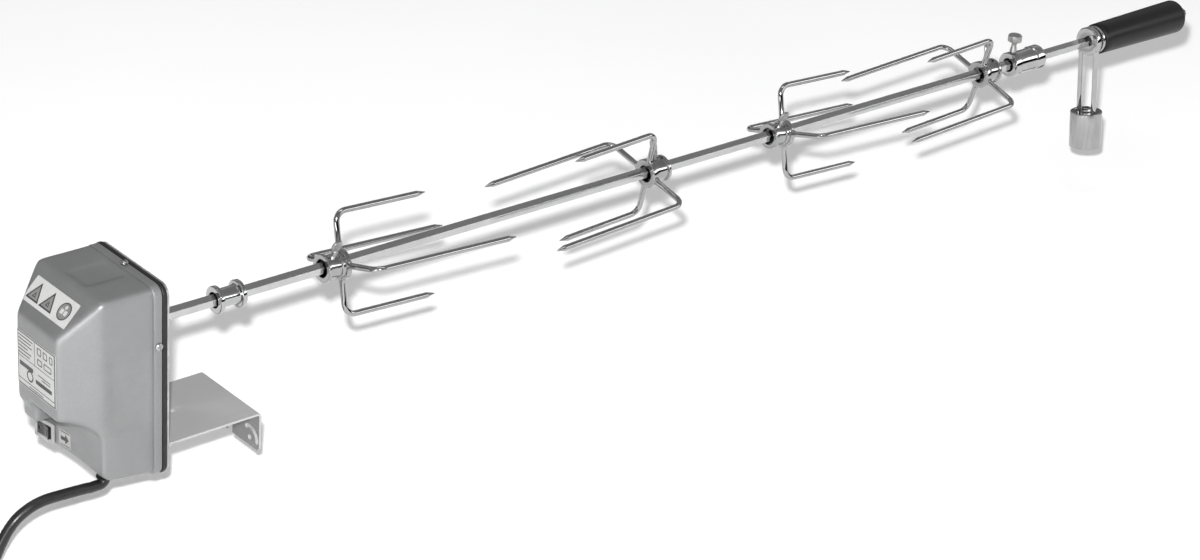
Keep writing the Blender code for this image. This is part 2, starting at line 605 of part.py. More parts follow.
LABEL_T = 0.3
slope = math.atan2(NOSE_TOP_Z - TOP_Z, NOSE_X - STRAIGHT_X)   # direction of the upper slope
SLOPE_DIR = Vector((NOSE_X - STRAIGHT_X, 0, NOSE_TOP_Z - TOP_Z)).normalized()
SLOPE_OUT = Vector((SLOPE_DIR.z, 0, -SLOPE_DIR.x))
mid = Vector((STRAIGHT_X, 0, TOP_Z)).lerp(Vector((NOSE_X, 0, NOSE_TOP_Z)), 0.5) + SLOPE_OUT * 0.14
bm = prism(rounded(-29.2, 29.2, -10.4, 10.4, 1.0, 3), 0.0, LABEL_T)
frame_m = Matrix((SLOPE_OUT, Vector((0, 1, 0)), -SLOPE_DIR)).transposed()
node("warning_label", moved(bm, (0, 0, 0), frame_m), "label", at=mid + Vector((0, 1.8, 0)), smooth=40)
node("rating_label", prism(rounded(-26.8, 26.8, -22.4, 22.4, 1.0, 3), -LABEL_T, 0.0), "label", at=(NOSE_X - 0.15, 0.3, 81.0))
LABEL_Y = 4.5
node("switch_label", prism(rounded(-6.6, 6.6, -6.8, 6.8, 0.8, 3), -LABEL_T - 0.15, -0.15), "label", at=(on_pad(LABEL_Y), LABEL_Y, 11.5), turn=PAD_M)

# ---------------------------------------------------------------- cord
b = CORD_R + 0.5
node("cord_gland", lathe([(-8.5, b), (-8.5, 6.6), (-8.1, 7.0), (-7.1, 7.0), (-7.1, 5.4), (3.0, 5.4), (3.0, b)], 16, "Z"), "rubber", at=(GLAND_X, GLAND_Y, 0))
cord_path = [tuple(p) for p in bend_line([(GLAND_X, -30, 6.0), (GLAND_X, -30, CORD_Z), (GLAND_X - 13, -30, CORD_Z)], 5.4, 4)]
cord_path += [
    (-152, -30, -12.7), (-170, -30, -11.6), (-184, -30, -11.2), (-196, -30, -13.4), (-207, -30, -18.8), (-215, -30, -26.6),
    (-221, -30, -36.0), (-226, -30, -46.0), (-229.5, -30, -55.0), (-232, -30, -63.0)]
node("power_cord", sweep(cord_path, [CORD_R] * len(cord_path), 10), "rubber", smooth=60)

# ---------------------------------------------------------------- bracket
t = BRACKET_T
top, x0, x1 = BRACKET_TOP_Z, BRACKET_X0, BRACKET_X1


def bent(points, r_in):
    """Sheet outline (x, z): centre line points turned into an outline of thickness t."""
    line = bend_line([(x, 0, z) for x, z in points], r_in + t / 2, 4)
    left, right = [], []
    for i, p in enumerate(line):
        a, b = line[max(i - 1, 0)], line[min(i + 1, len(line) - 1)]
        d = (b - a).normalized()
        n = Vector((-d.z, 0, d.x)) * (t / 2)
        left.append((p.x + n.x, p.z + n.z))
        right.append((p.x - n.x, p.z - n.z))
    return left + right[::-1]


sheet = bent([(x0 + t / 2, REAR_TAB_Z), (x0 + t / 2, top - t / 2), (x1 - t / 2, top - t / 2), (x1 - t / 2, FLANGE_Z)], 1.6)
bm = prism(sheet, -BRACKET_HALF_W, BRACKET_HALF_W, "Y")
holes = [moved(lathe([(-6, 0), (-6, 2.1), (6, 2.1), (6, 0)], 14, "Z"), (-54.5, 0, top))]
holes.append(prism([(-NOTCH_HALF, FLANGE_Z - 5), (NOTCH_HALF, FLANGE_Z - 5), (NOTCH_HALF, NOTCH_Z), (NOTCH_HALF * 0.6, NOTCH_Z + 2),
                    (-NOTCH_HALF * 0.6, NOTCH_Z + 2), (-NOTCH_HALF, NOTCH_Z)], -6, 4))
for s in (-1, 1):
    holes.append(moved(lathe([(-6, 0), (-6, EAR_HOLE_R), (6, EAR_HOLE_R), (6, 0)], 20), (0, s * EAR_HOLE_Y, EAR_HOLE_Z)))
    mid_line = []
    for k in range(9):
        a = math.radians(62 + (182 - 62) * k / 8)
        mid_line.append((EAR_SLOT_R * math.cos(a), EAR_SLOT_R * math.sin(a)))
    arc = [((EAR_SLOT_R + EAR_SLOT_HALF) * math.cos(math.radians(62 + 15 * k)), (EAR_SLOT_R + EAR_SLOT_HALF) * math.sin(math.radians(62 + 15 * k))) for k in range(9)]
    cy, cz = mid_line[-1]
    arc += [(cy + EAR_SLOT_HALF * math.cos(math.radians(182 + 36 * k)), cz + EAR_SLOT_HALF * math.sin(math.radians(182 + 36 * k))) for k in range(1, 5)]
    arc += [((EAR_SLOT_R - EAR_SLOT_HALF) * math.cos(math.radians(182 - 15 * k)), (EAR_SLOT_R - EAR_SLOT_HALF) * math.sin(math.radians(182 - 15 * k))) for k in range(9)]
    cy, cz = mid_line[0]
    arc += [(cy + EAR_SLOT_HALF * math.cos(math.radians(242 + 36 * k)), cz + EAR_SLOT_HALF * math.sin(math.radians(242 + 36 * k))) for k in range(1, 5)]
    holes.append(prism([(s * EAR_HOLE_Y - s * y * -1 if s < 0 else s * EAR_HOLE_Y - y, EAR_HOLE_Z + z) for y, z in arc], -6, 4))
    y = s * BRACKET_HALF_W
    holes.append(prism([(y + s, FLANGE_Z - 1), (y + s, FLANGE_Z + 4), (y - s * 3.5, FLANGE_Z - 1)], -6, 4))
for y in (-25.0, 25.0):
    holes.append(moved(lathe([(-4, 0), (-4, 2.4), (4, 2.4), (4, 0)], 10), (x0 + t / 2, y, 0.0)))
node("bracket", cut(bm, *holes), "satin", smooth=30)
for i, y in enumerate((-25.0, 25.0), 1):
    rivet = lathe([(PLATE_X0 - 1.9, 0), (PLATE_X0 - 1.9, 3.6), (PLATE_X0 - 0.35, 3.9), (PLATE_X0 - 0.35, 2.0), (x0 + t + 0.35, 2.0), (x0 + t + 0.35, 3.9), (x0 + t + 1.3, 3.1), (x0 + t + 1.6, 0)], 10)
    node("bracket_rivet_%d" % i, rivet, "steel", at=(0, y, 0.0))

# ---------------------------------------------------------------- spit
spit = empty("spit_axis", (0, 0, ROD_Z))
hexa = HEX(ROD_AF)
small_hex = HEX(ROD_AF - 2.4)
bm = bmesh.new()
skin(bm, [[(ROD_X0, y, z) for y, z in small_hex], [(ROD_X0 + 2.5, y, z) for y, z in hexa], [(ROD_X1, y, z) for y, z in hexa]])
bm = weld(bm, lathe([(ROD_X1 - 2, 0), (ROD_X1 - 2, TAIL_R), (TAIL_X1 - 1, TAIL_R), (TAIL_X1, TAIL_R - 0.8), (TAIL_X1, 0)], 24))
node("spit_rod", bm, "chrome", smooth=30, parent=spit)

node("near_bush", lathe([(-18.5, 6.2), (-18.5, 10.2), (-17.7, 11.0), (-15.0, 11.0), (-14.2, 10.2), (-13.8, 7.6), (0.8, 7.6), (1.2, 10.2), (2.0, 11.0),
                         (4.7, 11.0), (5.5, 10.2), (5.5, 6.2)], 24), "chrome", parent=spit)
bm = lathe([(878.5, 6.4), (878.5, 11.2), (879.5, 12.0), (887.0, 12.0), (888.4, 10.9), (909.0, 10.9), (910.4, 12.0), (919.0, 12.0), (921.6, 10.6), (922.5, 8.6), (922.5, 6.4)], 24)
FB_SCREW_X = 883.4
bm = cut(bm, moved(lathe([(4, 0), (4, 2.5), (20, 2.5), (20, 0)], 14, "Z"), (FB_SCREW_X, 0, 0)))
node("far_bush", bm, "chrome", parent=spit)
knob = [(7.0, 0), (7.0, 2.0), (7.4, 2.15), (12.6, 2.15), (13.2, 3.6), (20.0, 2.4), (22.4, 2.6), (23.2, 6.0), (24.0, 6.6), (29.0, 6.6), (29.8, 5.9), (30.2, 0)]
node("far_bush_screw", lathe(knob, 24, "Z"), "cast", at=(FB_SCREW_X, 0, ROD_Z))


# ---------------------------------------------------------------- forks
def tine(angle, radius, length):
    c, s = math.cos(angle), math.sin(angle)
    line = bend_line([(0, 8.6 * c, 8.6 * s), (0, radius * c, radius * s), (length - 14.0, radius * c, radius * s)], BEND_R, 4)
    path = [tuple(p) for p in line]
    radii = [TINE_R] * len(path)
    for share, r in ((0.45, 0.8), (0.8, 0.42)):
        path.append((length - 14.0 * (1 - share), radius * c, radius * s))
        radii.append(TINE_R * r)
    path.append((length, radius * c, radius * s))
    radii.append(0.0)
    return sweep(path, radii, 6, tip=True)


def spade():
    """Flat-headed screw about its own +Z axis, tip towards the spit."""
    bm = lathe([(6.8, 0), (6.8, 1.7), (7.4, 2.1), (13.0, 2.1), (14.0, 2.6), (16.6, 2.6), (18.0, 1.4), (18.0, 0)], 14, "Z")
    head = [(-2.3, 14.6), (2.3, 14.6), (4.6, 18.2), (5.0, 22.0), (4.4, 25.0), (2.6, 26.8), (-2.6, 26.8), (-4.4, 25.0), (-5.0, 22.0), (-4.6, 18.2)]
    return weld(bm, prism(head, -1.15, 1.15, "Y"))


SCREW_TWIST = {"fork_1": 8.0, "fork_2": 78.0, "fork_3": 2.0, "fork_4": 30.0}
for name, x, side, drop, roll, droop, screw in FORKS:
    # local frame: +x towards the tips, y and z across; the long tines lie along the local y axis
    a = Vector((side * math.cos(math.radians(droop)), 0, -math.sin(math.radians(droop))))
    up = Vector((side * math.sin(math.radians(droop)), 0, math.cos(math.radians(droop))))
    near = Vector((0, -1, 0))
    ro = math.radians(roll)
    long_dir = near * math.cos(ro) + up * math.sin(ro)
    short_dir = -near * math.sin(ro) + up * math.cos(ro)
    third = a.cross(long_dir)
    flip = 1.0 if third.dot(short_dir) > 0 else -1.0
    turn = Matrix((a, long_dir, third)).transposed()
    centre = Vector((x, 0, ROD_Z + drop))
    # turn the screw hole to its own angle from the top, leaning towards the near side when negative
    lean = math.radians(screw)
    screw_dir = up * math.cos(lean) - near * math.sin(lean)
    local = turn.transposed() @ screw_dir
    sa = math.atan2(local.z, local.y)
    hub = lathe([(-HUB_L + 2.5, HUB_BORE_R), (-HUB_L + 2.5, END_R - 0.7), (-HUB_L + 3.2, END_R), (-HUB_L + 5.4, END_R), (-HUB_L + 5.4, HUB_R), (-5.4, HUB_R), (-5.4, HUB_R + 1.4), (-2.4, HUB_R + 1.4),
                 (-2.4, FLANGE_R), (1.8, FLANGE_R), (2.5, FLANGE_R - 0.7), (2.5, HUB_BORE_R)], 24)
    parts = [tine(0.0, LONG_R, LONG_L), tine(math.pi, LONG_R, LONG_L),
             tine(math.pi / 2, SHORT_R, SHORT_L), tine(-math.pi / 2, SHORT_R, SHORT_L)]
    hub = weld(hub, *parts)
    hole = lathe([(3, 0), (3, 2.5), (20, 2.5), (20, 0)], 10)
    hole = moved(hole, (0, 0, 0), Matrix((Vector((0, math.cos(sa), math.sin(sa))), Vector((1, 0, 0)), Vector((0, math.sin(sa), -math.cos(sa))))).transposed())
    hub = cut(hub, moved(hole, (-SCREW_BACK, 0, 0)))
    node(name, hub, "chrome", at=centre, turn=turn, smooth=32)
    at = centre - a * SCREW_BACK
    z_axis = screw_dir
    x_axis = a.cross(z_axis).normalized()
    tw = Matrix.Rotation(math.radians(SCREW_TWIST[name]), 3, z_axis)
    x_axis = (tw @ a).normalized()
    y_axis = z_axis.cross(x_axis)
    node(name + "_screw", spade(), "cast", at=at, turn=Matrix((x_axis, y_axis, z_axis)).transposed(), smooth=32)

# ---------------------------------------------------------------- counterweight
tilt = Matrix.Rotation(-WEIGHT_TILT, 3, "X")
cw = empty("counterweight_axis", ((YOKE_X0 + YOKE_X1) / 2, 0, ROD_Z), turn=tilt)
w = (YOKE_X1 - YOKE_X0) / 2
collar = lathe([(-w, TAIL_R + 0.5), (-w, YOKE_R - 1.2), (-w + 1.2, YOKE_R), (w - 1.2, YOKE_R), (w, YOKE_R - 1.2), (w, TAIL_R + 0.5)], 24)
legs = [moved(lathe([(-WEIGHT_END + 4.0, 0), (-WEIGHT_END + 4.0, LEG_R - 0.6), (-WEIGHT_END + 4.6, LEG_R), (-2.0, LEG_R), (-1.0, LEG_R - 0.8), (-1.0, 0)], 16, "Z"), (0, s * LEG_HALF, 0)) for s in (-1, 1)]
node("counterweight_yoke", weld(collar, *legs), "chrome", parent=cw)
bm = lathe([(-WEIGHT_END, 0), (-WEIGHT_END, WEIGHT_R - 0.8), (-WEIGHT_END + 0.8, WEIGHT_R), (-WEIGHT_TOP - 1.0, WEIGHT_R), (-WEIGHT_TOP, WEIGHT_R - 1.0), (-WEIGHT_TOP, 0)], 36, "Z")
bm = cut(bm, *[moved(lathe([(-130, 0), (-130, LEG_R + GAP), (-60, LEG_R + GAP), (-60, 0)], 14, "Z"), (0, s * LEG_HALF, 0)) for s in (-1, 1)],
         lathe([(-WEIGHT_TOP - 15, 0), (-WEIGHT_TOP - 15, 2.8), (-60, 2.8), (-60, 0)], 16, "Z"))
node("counterweight", bm, "satin", parent=cw)
node("weight_bolt", lathe([(-WEIGHT_TOP - 14, 0), (-WEIGHT_TOP - 14, 2.4), (-WEIGHT_TOP + GAP, 2.4), (-WEIGHT_TOP + GAP, 4.2), (-WEIGHT_TOP + 2.6, 4.2), (-WEIGHT_TOP + 3.6, 3.2), (-WEIGHT_TOP + 4.0, 0)], 14, "Z"), "chrome", parent=cw)

# ---------------------------------------------------------------- handle
grip_axis = empty("handle_axis", (GRIP_X0, 0, ROD_Z))
b = TAIL_R + 0.5
node("handle_ferrule", lathe([(FERRULE_X0 - GRIP_X0, b), (FERRULE_X0 - GRIP_X0, 10.4), (-4.3, 10.4), (-3.9, 12.8), (-3.2, 13.6), (-1.2, 13.6), (-0.6, 13.0), (-0.6, b)], 24), "chrome", parent=grip_axis)
L = GRIP_X1 - GRIP_X0
node("handle_grip", lathe([(0, b), (0, GRIP_R0 - 1.0), (1.0, GRIP_R0), (L * 0.5, (GRIP_R0 + GRIP_R1) / 2), (L - 3.5, GRIP_R1), (L - 1.2, GRIP_R1 - 0.8), (L, GRIP_R1 - 3.0), (L, b)], 24), "black", parent=grip_axis, smooth=40)
node("handle_nut", lathe([(L + GAP, b), (L + GAP, 8.2), (L + 0.9, 8.8), (L + 2.0, 8.8), (L + 2.4, 7.2), (L + 10.0, 7.2), (L + 12.8, 5.8), (L + 14.5, 3.4), (L + 15.0, 0), (L + 13.6, 0), (L + 13.6, b)], 24), "chrome", parent=grip_axis)
bpy.context.view_layer.update()
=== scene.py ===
"""Looks of the rotisserie spit roaster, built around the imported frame."""
import json
import math

import bmesh
import bpy
from mathutils import Matrix, Vector
from mathutils.bvhtree import BVHTree


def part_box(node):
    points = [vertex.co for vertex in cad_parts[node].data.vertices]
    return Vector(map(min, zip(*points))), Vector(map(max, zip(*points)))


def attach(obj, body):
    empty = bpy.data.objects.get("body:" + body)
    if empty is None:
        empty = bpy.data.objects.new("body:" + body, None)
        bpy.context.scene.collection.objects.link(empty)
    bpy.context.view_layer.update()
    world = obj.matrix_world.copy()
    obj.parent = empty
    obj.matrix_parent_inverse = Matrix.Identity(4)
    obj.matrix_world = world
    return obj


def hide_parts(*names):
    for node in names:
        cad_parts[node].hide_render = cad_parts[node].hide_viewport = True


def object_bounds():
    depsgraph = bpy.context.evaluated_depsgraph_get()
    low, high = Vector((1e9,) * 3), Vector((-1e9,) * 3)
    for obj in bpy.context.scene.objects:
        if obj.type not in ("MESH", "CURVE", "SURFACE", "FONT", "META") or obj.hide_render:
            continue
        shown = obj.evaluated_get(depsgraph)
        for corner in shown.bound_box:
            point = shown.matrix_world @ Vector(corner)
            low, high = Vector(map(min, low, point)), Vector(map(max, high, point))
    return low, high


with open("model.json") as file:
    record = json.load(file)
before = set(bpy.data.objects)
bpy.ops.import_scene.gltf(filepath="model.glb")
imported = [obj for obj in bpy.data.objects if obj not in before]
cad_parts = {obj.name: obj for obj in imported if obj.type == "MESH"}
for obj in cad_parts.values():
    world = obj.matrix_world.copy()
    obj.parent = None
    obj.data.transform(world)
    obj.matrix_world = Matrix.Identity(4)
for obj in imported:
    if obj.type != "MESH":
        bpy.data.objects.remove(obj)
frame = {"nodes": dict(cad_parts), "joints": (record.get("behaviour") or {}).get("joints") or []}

CAD_BOX = [list(c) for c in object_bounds()]
NODES = frame["nodes"]
JOINTS = {j["name"]: j for j in frame["joints"]}
SCENE = bpy.context.scene.collection
MM = 0.001

# ------------------------------------------------------------------ the design's sizes, in mm
rod_low, rod_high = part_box("spit_rod")
ROD_Z = JOINTS["spit_drive"]["pos_m"][2] / MM
ROD_AF = 9.5
ROD_X0, TAIL_X1 = rod_low.x / MM, rod_high.x / MM
ROD_X1 = 992.0
TAIL_R = 4.0
cover_low, cover_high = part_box("front_cover")
RIM_X = cover_high.x / MM
NOSE_X = cover_low.x / MM
STRAIGHT_X, KNEE_X = -143.5, -137.5
HALF_W = 45.0
TOP_Z, FOOT_Z, KNEE_Z, CHIN_Z = 145.0, 0.5, -5.0, -10.5
NOSE_HALF_W, NOSE_TOP_Z = 28.0, 117.0
RIM_OUT, RIM_DEEP, RIM_R, CORNER_R = 1.8, 6.5, 9.0, 4.2
COVE_X, COVE_Z, COVE_RZ, LEG_Y = -144.2, 29.0, 18.5, 13.0
PAD_X, PAD_FAR_Y, PAD_NEAR_Y, PAD_TOP_Z = -151.2, 41.5, -8.0, 22.0
PAD_TURN = math.atan2(COVE_X - 0.1 - PAD_X, PAD_FAR_Y - 2.5 - PAD_NEAR_Y)
gasket_low, gasket_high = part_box("cover_gasket")
plate_low, plate_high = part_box("back_plate")
GASKET_X0, GASKET_X1 = gasket_low.x / MM, gasket_high.x / MM
PLATE_X1 = plate_high.x / MM
PLATE_X0 = PLATE_X1 - 1.6
ROCKER_Y, ROCKER_Z = JOINTS["rocker_switch"]["pos_m"][1] / MM, JOINTS["rocker_switch"]["pos_m"][2] / MM
SCREW_X = RIM_X - 2.9
FORKS = (
    ("fork_1", 99.8, 1, -1.2, 16.5, 3.0, -20.0, 8.0),
    ("fork_2", 420.7, -1, -1.2, -12.2, 3.0, 14.0, 78.0),
    ("fork_3", 581.7, 1, -1.2, 16.4, 3.0, -22.0, 2.0),
    ("fork_4", 839.7, -1, -1.2, -15.8, 2.6, 12.0, 30.0),
)
HUB_R, HUB_BORE_R, HUB_L = 9.8, 7.3, 21.0
FLANGE_R, END_R = 12.8, 11.6
TINE_R, LONG_R, LONG_L, SHORT_R, SHORT_L, BEND_R = 2.5, 48.3, 139.0, 41.6, 88.5, 9.0
SCREW_BACK = 10.8


# ------------------------------------------------------------------ mesh tools
def lathe(profile, seg=64, axis="X"):
    """Profile of (along, radius) turned about an axis; radius 0 makes a pole, otherwise the profile closes on itself."""
    bm = bmesh.new()
    rings = []
    for a, r in profile:
        if r < 1e-6:
            rings.append([bm.verts.new((a, 0, 0))])
        else:
            rings.append([bm.verts.new((a, r * math.cos(2 * math.pi * k / seg), r * math.sin(2 * math.pi * k / seg))) for k in range(seg)])
    pairs = list(zip(rings, rings[1:]))
    if len(rings[0]) > 1 and len(rings[-1]) > 1:
        pairs.append((rings[-1], rings[0]))
    for a, b in pairs:
        for k in range(seg):
            j = (k + 1) % seg
            if len(a) == 1 and len(b) == 1:
                continue
            if len(a) == 1:
                bm.faces.new((a[0], b[j], b[k]))
            elif len(b) == 1:
                bm.faces.new((a[k], a[j], b[0]))
            else:
                bm.faces.new((a[k], a[j], b[j], b[k]))
    if axis == "Z":
        bmesh.ops.rotate(bm, cent=(0, 0, 0), matrix=Matrix.Rotation(-math.pi / 2, 3, "Y"), verts=bm.verts)
    bmesh.ops.recalc_face_normals(bm, faces=bm.faces)
    return bm


def fillet(profile, radii, steps=4):
    """Rounds the corners of an open or closed (along, radius) profile; radii maps a corner's index to its radius."""
    out = []
    n = len(profile)
    for i, p in enumerate(profile):
        r = radii.get(i, 0) if isinstance(radii, dict) else radii
        a, c = Vector((*profile[i - 1], 0)), Vector((*profile[(i + 1) % n], 0))
        b = Vector((*p, 0))
        u, v = a - b, c - b
        if r <= 0 or p[1] < 1e-6 or u.length < 1e-6 or v.length < 1e-6 or (i in (0, n - 1) and (profile[0][1] < 1e-6 or profile[-1][1] < 1e-6)):
            out.append(tuple(p))
            continue
        u2, v2 = u.normalized(), v.normalized()
        angle = u2.angle(v2)
        if angle > math.radians(176) or angle < 0.05:
            out.append(tuple(p))
            continue
        back = min(r / math.tan(angle / 2), u.length * 0.45, v.length * 0.45)
        rr = back * math.tan(angle / 2)
        centre = b + (u2 + v2).normalized() * (rr / math.sin(angle / 2))
        s, e = b + u2 * back - centre, b + v2 * back - centre
        turn = math.atan2(s.x * e.y - s.y * e.x, s.dot(e))
        for k in range(steps + 1):
            q = centre + Matrix.Rotation(turn * k / steps, 3, "Z") @ s
            out.append((q.x, q.y))
    return out


def skin(bm, rings):
    loops = [[bm.verts.new(p) for p in ring] for ring in rings]
    for a, b in zip(loops, loops[1:]):
        for i in range(len(a)):
            j = (i + 1) % len(a)
            bm.faces.new((a[i], a[j], b[j], b[i]))
    bm.faces.new(list(reversed(loops[0])))
    bm.faces.new(loops[-1])
    bmesh.ops.recalc_face_normals(bm, faces=bm.faces)
    return bm


def prism(points, low, high, axis="X"):
    put = {"X": lambda a, b, t: (t, a, b), "Y": lambda a, b, t: (a, t, b), "Z": lambda a, b, t: (a, b, t)}[axis]
    return skin(bmesh.new(), [[put(a, b, low) for a, b in points], [put(a, b, high) for a, b in points]])


def box(x0, x1, y0, y1, z0, z1):
    return prism([(y0, z0), (y1, z0), (y1, z1), (y0, z1)], x0, x1)


def rounded(y0, y1, z0, z1, r, n=8):
    pts = []
    for cy, cz, start in ((y1 - r, z1 - r, 0), (y0 + r, z1 - r, 90), (y0 + r, z0 + r, 180), (y1 - r, z0 + r, 270)):
        for k in range(n + 1):
            t = math.radians(start + 90 * k / n)
            pts.append((cy + r * math.cos(t), cz + r * math.sin(t)))
    return pts


def circle(r, n, cy=0.0, cz=0.0, phase=0.0):
    return [(cy + r * math.cos(phase + 2 * math.pi * k / n), cz + r * math.sin(phase + 2 * math.pi * k / n)) for k in range(n)]


def loop_band(rows):
    """Closed ring: each row is a closed outline at its own x, and the last row joins the first."""
    bm = bmesh.new()
    loops = [[bm.verts.new(p) for p in row] for row in rows]
    n = len(loops[0])
    for a, b in zip(loops, loops[1:] + loops[:1]):
        for i in range(n):
            j = (i + 1) % n
            bm.faces.new((a[i], a[j], b[j], b[i]))
    bmesh.ops.recalc_face_normals(bm, faces=bm.faces)
    return bm


def sweep(path, radii, sides=20, tip=False):
    bm = bmesh.new()
    pts = [Vector(p) for p in path]
    tangents = [(pts[min(i + 1, len(pts) - 1)] - pts[max(i - 1, 0)]).normalized() for i in range(len(pts))]
    side = tangents[0].orthogonal().normalized()
    rings = []
    for i, (p, t) in enumerate(zip(pts, tangents)):
        if i:
            side = (side - t * side.dot(t)).normalized()
        other = t.cross(side)
        if tip and i == len(pts) - 1:
            rings.append([bm.verts.new(p)])
            continue
        rings.append([bm.verts.new(p + (side * math.cos(2 * math.pi * k / sides) + other * math.sin(2 * math.pi * k / sides)) * radii[i]) for k in range(sides)])
    for a, b in zip(rings, rings[1:]):
        for k in range(sides):
            j = (k + 1) % sides
            if len(b) == 1:
                bm.faces.new((a[k], a[j], b[0]))
            else:
                bm.faces.new((a[k], a[j], b[j], b[k]))
    bm.faces.new(list(reversed(rings[0])))
    if len(rings[-1]) > 1:
        bm.faces.new(rings[-1])
    bmesh.ops.recalc_face_normals(bm, faces=bm.faces)
    return bm


def bend_line(points, r, n=10):
    pts = [Vector(p) for p in points]
    out = [pts[0]]
    for a, b, c in zip(pts, pts[1:], pts[2:]):
        u, v = (a - b).normalized(), (c - b).normalized()
        angle = u.angle(v)
        back = min(r / math.tan(angle / 2), (a - b).length * 0.49, (c - b).length * 0.49)
        rr = back * math.tan(angle / 2)
        centre = b + (u + v).normalized() * (rr / math.sin(angle / 2))
        start, stop = b + u * back - centre, b + v * back - centre
        full = start.angle(stop)
        axis = start.cross(stop).normalized()
        for k in range(n + 1):
            out.append(centre + Matrix.Rotation(full * k / n, 3, axis) @ start)
    out.append(pts[-1])
    return out


def spline(points, per=8):
    """Catmull-Rom line through the points."""
    p = [Vector(q) for q in points]
    p = [p[0] * 2 - p[1]] + p + [p[-1] * 2 - p[-2]]
    out = []
    for i in range(1, len(p) - 2):
        for k in range(per):
            t = k / per
            out.append(0.5 * ((2 * p[i]) + (-p[i - 1] + p[i + 1]) * t + (2 * p[i - 1] - 5 * p[i] + 4 * p[i + 1] - p[i + 2]) * t * t + (-p[i - 1] + 3 * p[i] - 3 * p[i + 1] + p[i + 2]) * t ** 3))
    out.append(p[-2])
    return out


def moved(bm, by=(0, 0, 0), turn=None):
    if turn is not None:
        bmesh.ops.rotate(bm, cent=(0, 0, 0), matrix=turn, verts=bm.verts)
    bmesh.ops.translate(bm, vec=by, verts=bm.verts)
    return bm


def evaluated(ob):
    """The object's mesh with its modifiers applied, as a new mesh."""
    graph = bpy.context.evaluated_depsgraph_get()
    graph.update()
    return bpy.data.meshes.new_from_object(ob.evaluated_get(graph))


def scratch(bm):
    mesh = bpy.data.meshes.new("work")
    bmesh.ops.recalc_face_normals(bm, faces=bm.faces)
    bm.to_mesh(mesh)
    bm.free()
    ob = bpy.data.objects.new("work", mesh)
    SCENE.objects.link(ob)
    return ob


def drop(ob):
    mesh = ob.data
    bpy.data.objects.remove(ob, do_unlink=True)
    bpy.data.meshes.remove(mesh)


def combine(base, tools, how):
    obs = [scratch(bm) for bm in [base] + list(tools)]
    for tool in obs[1:]:
        mod = obs[0].modifiers.new("cut", "BOOLEAN")
        mod.operation, mod.solver, mod.object = how, "EXACT", tool
    mesh = evaluated(obs[0])
    out = bmesh.new()
    out.from_mesh(mesh)
    bpy.data.meshes.remove(mesh)
    for ob in obs:
        drop(ob)
    bmesh.ops.remove_doubles(out, verts=out.verts, dist=1e-4)
    bmesh.ops.dissolve_degenerate(out, edges=out.edges, dist=1e-4)
    return out


def cut(base, *tools):
    return combine(base, tools, "DIFFERENCE")


def weld(base, *tools):
    return combine(base, tools, "UNION")


def piece(name, bm, body, stands_for, mat, sharp=30.0, bevel=0.0, at=None, turn=None, segments=2):
    """A visible piece from a bmesh in millimetres, in the row frame, riding on a body."""
    if turn is not None or at is not None:
        moved(bm, at or (0, 0, 0), turn)
    bmesh.ops.recalc_face_normals(bm, faces=bm.faces)
    bmesh.ops.scale(bm, vec=(MM, MM, MM), verts=bm.verts)
    for v in bm.verts:
        for i in range(3):
            v.co[i] = min(max(v.co[i], CAD_BOX[0][i] + 1e-6), CAD_BOX[1][i] - 1e-6)
    for f in bm.faces:
        f.smooth = True
    if not bevel:
        for e in bm.edges:
            e.smooth = not (len(e.link_faces) == 2 and e.calc_face_angle(0.0) > math.radians(sharp))
    mesh = bpy.data.meshes.new(name)
    bm.to_mesh(mesh)
    bm.free()
    ob = bpy.data.objects.new(name, mesh)
    SCENE.objects.link(ob)
    ob.data.materials.append(mat)
    if bevel:
        mod = ob.modifiers.new("edges", "BEVEL")
        mod.width = bevel * MM
        mod.segments = segments
        mod.limit_method = "ANGLE"
        mod.angle_limit = math.radians(sharp)
        mod.harden_normals = True
        mod.miter_outer = "MITER_ARC"
    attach(ob, body)
    if stands_for:
        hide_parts(*([stands_for] if isinstance(stands_for, str) else stands_for))
    return ob


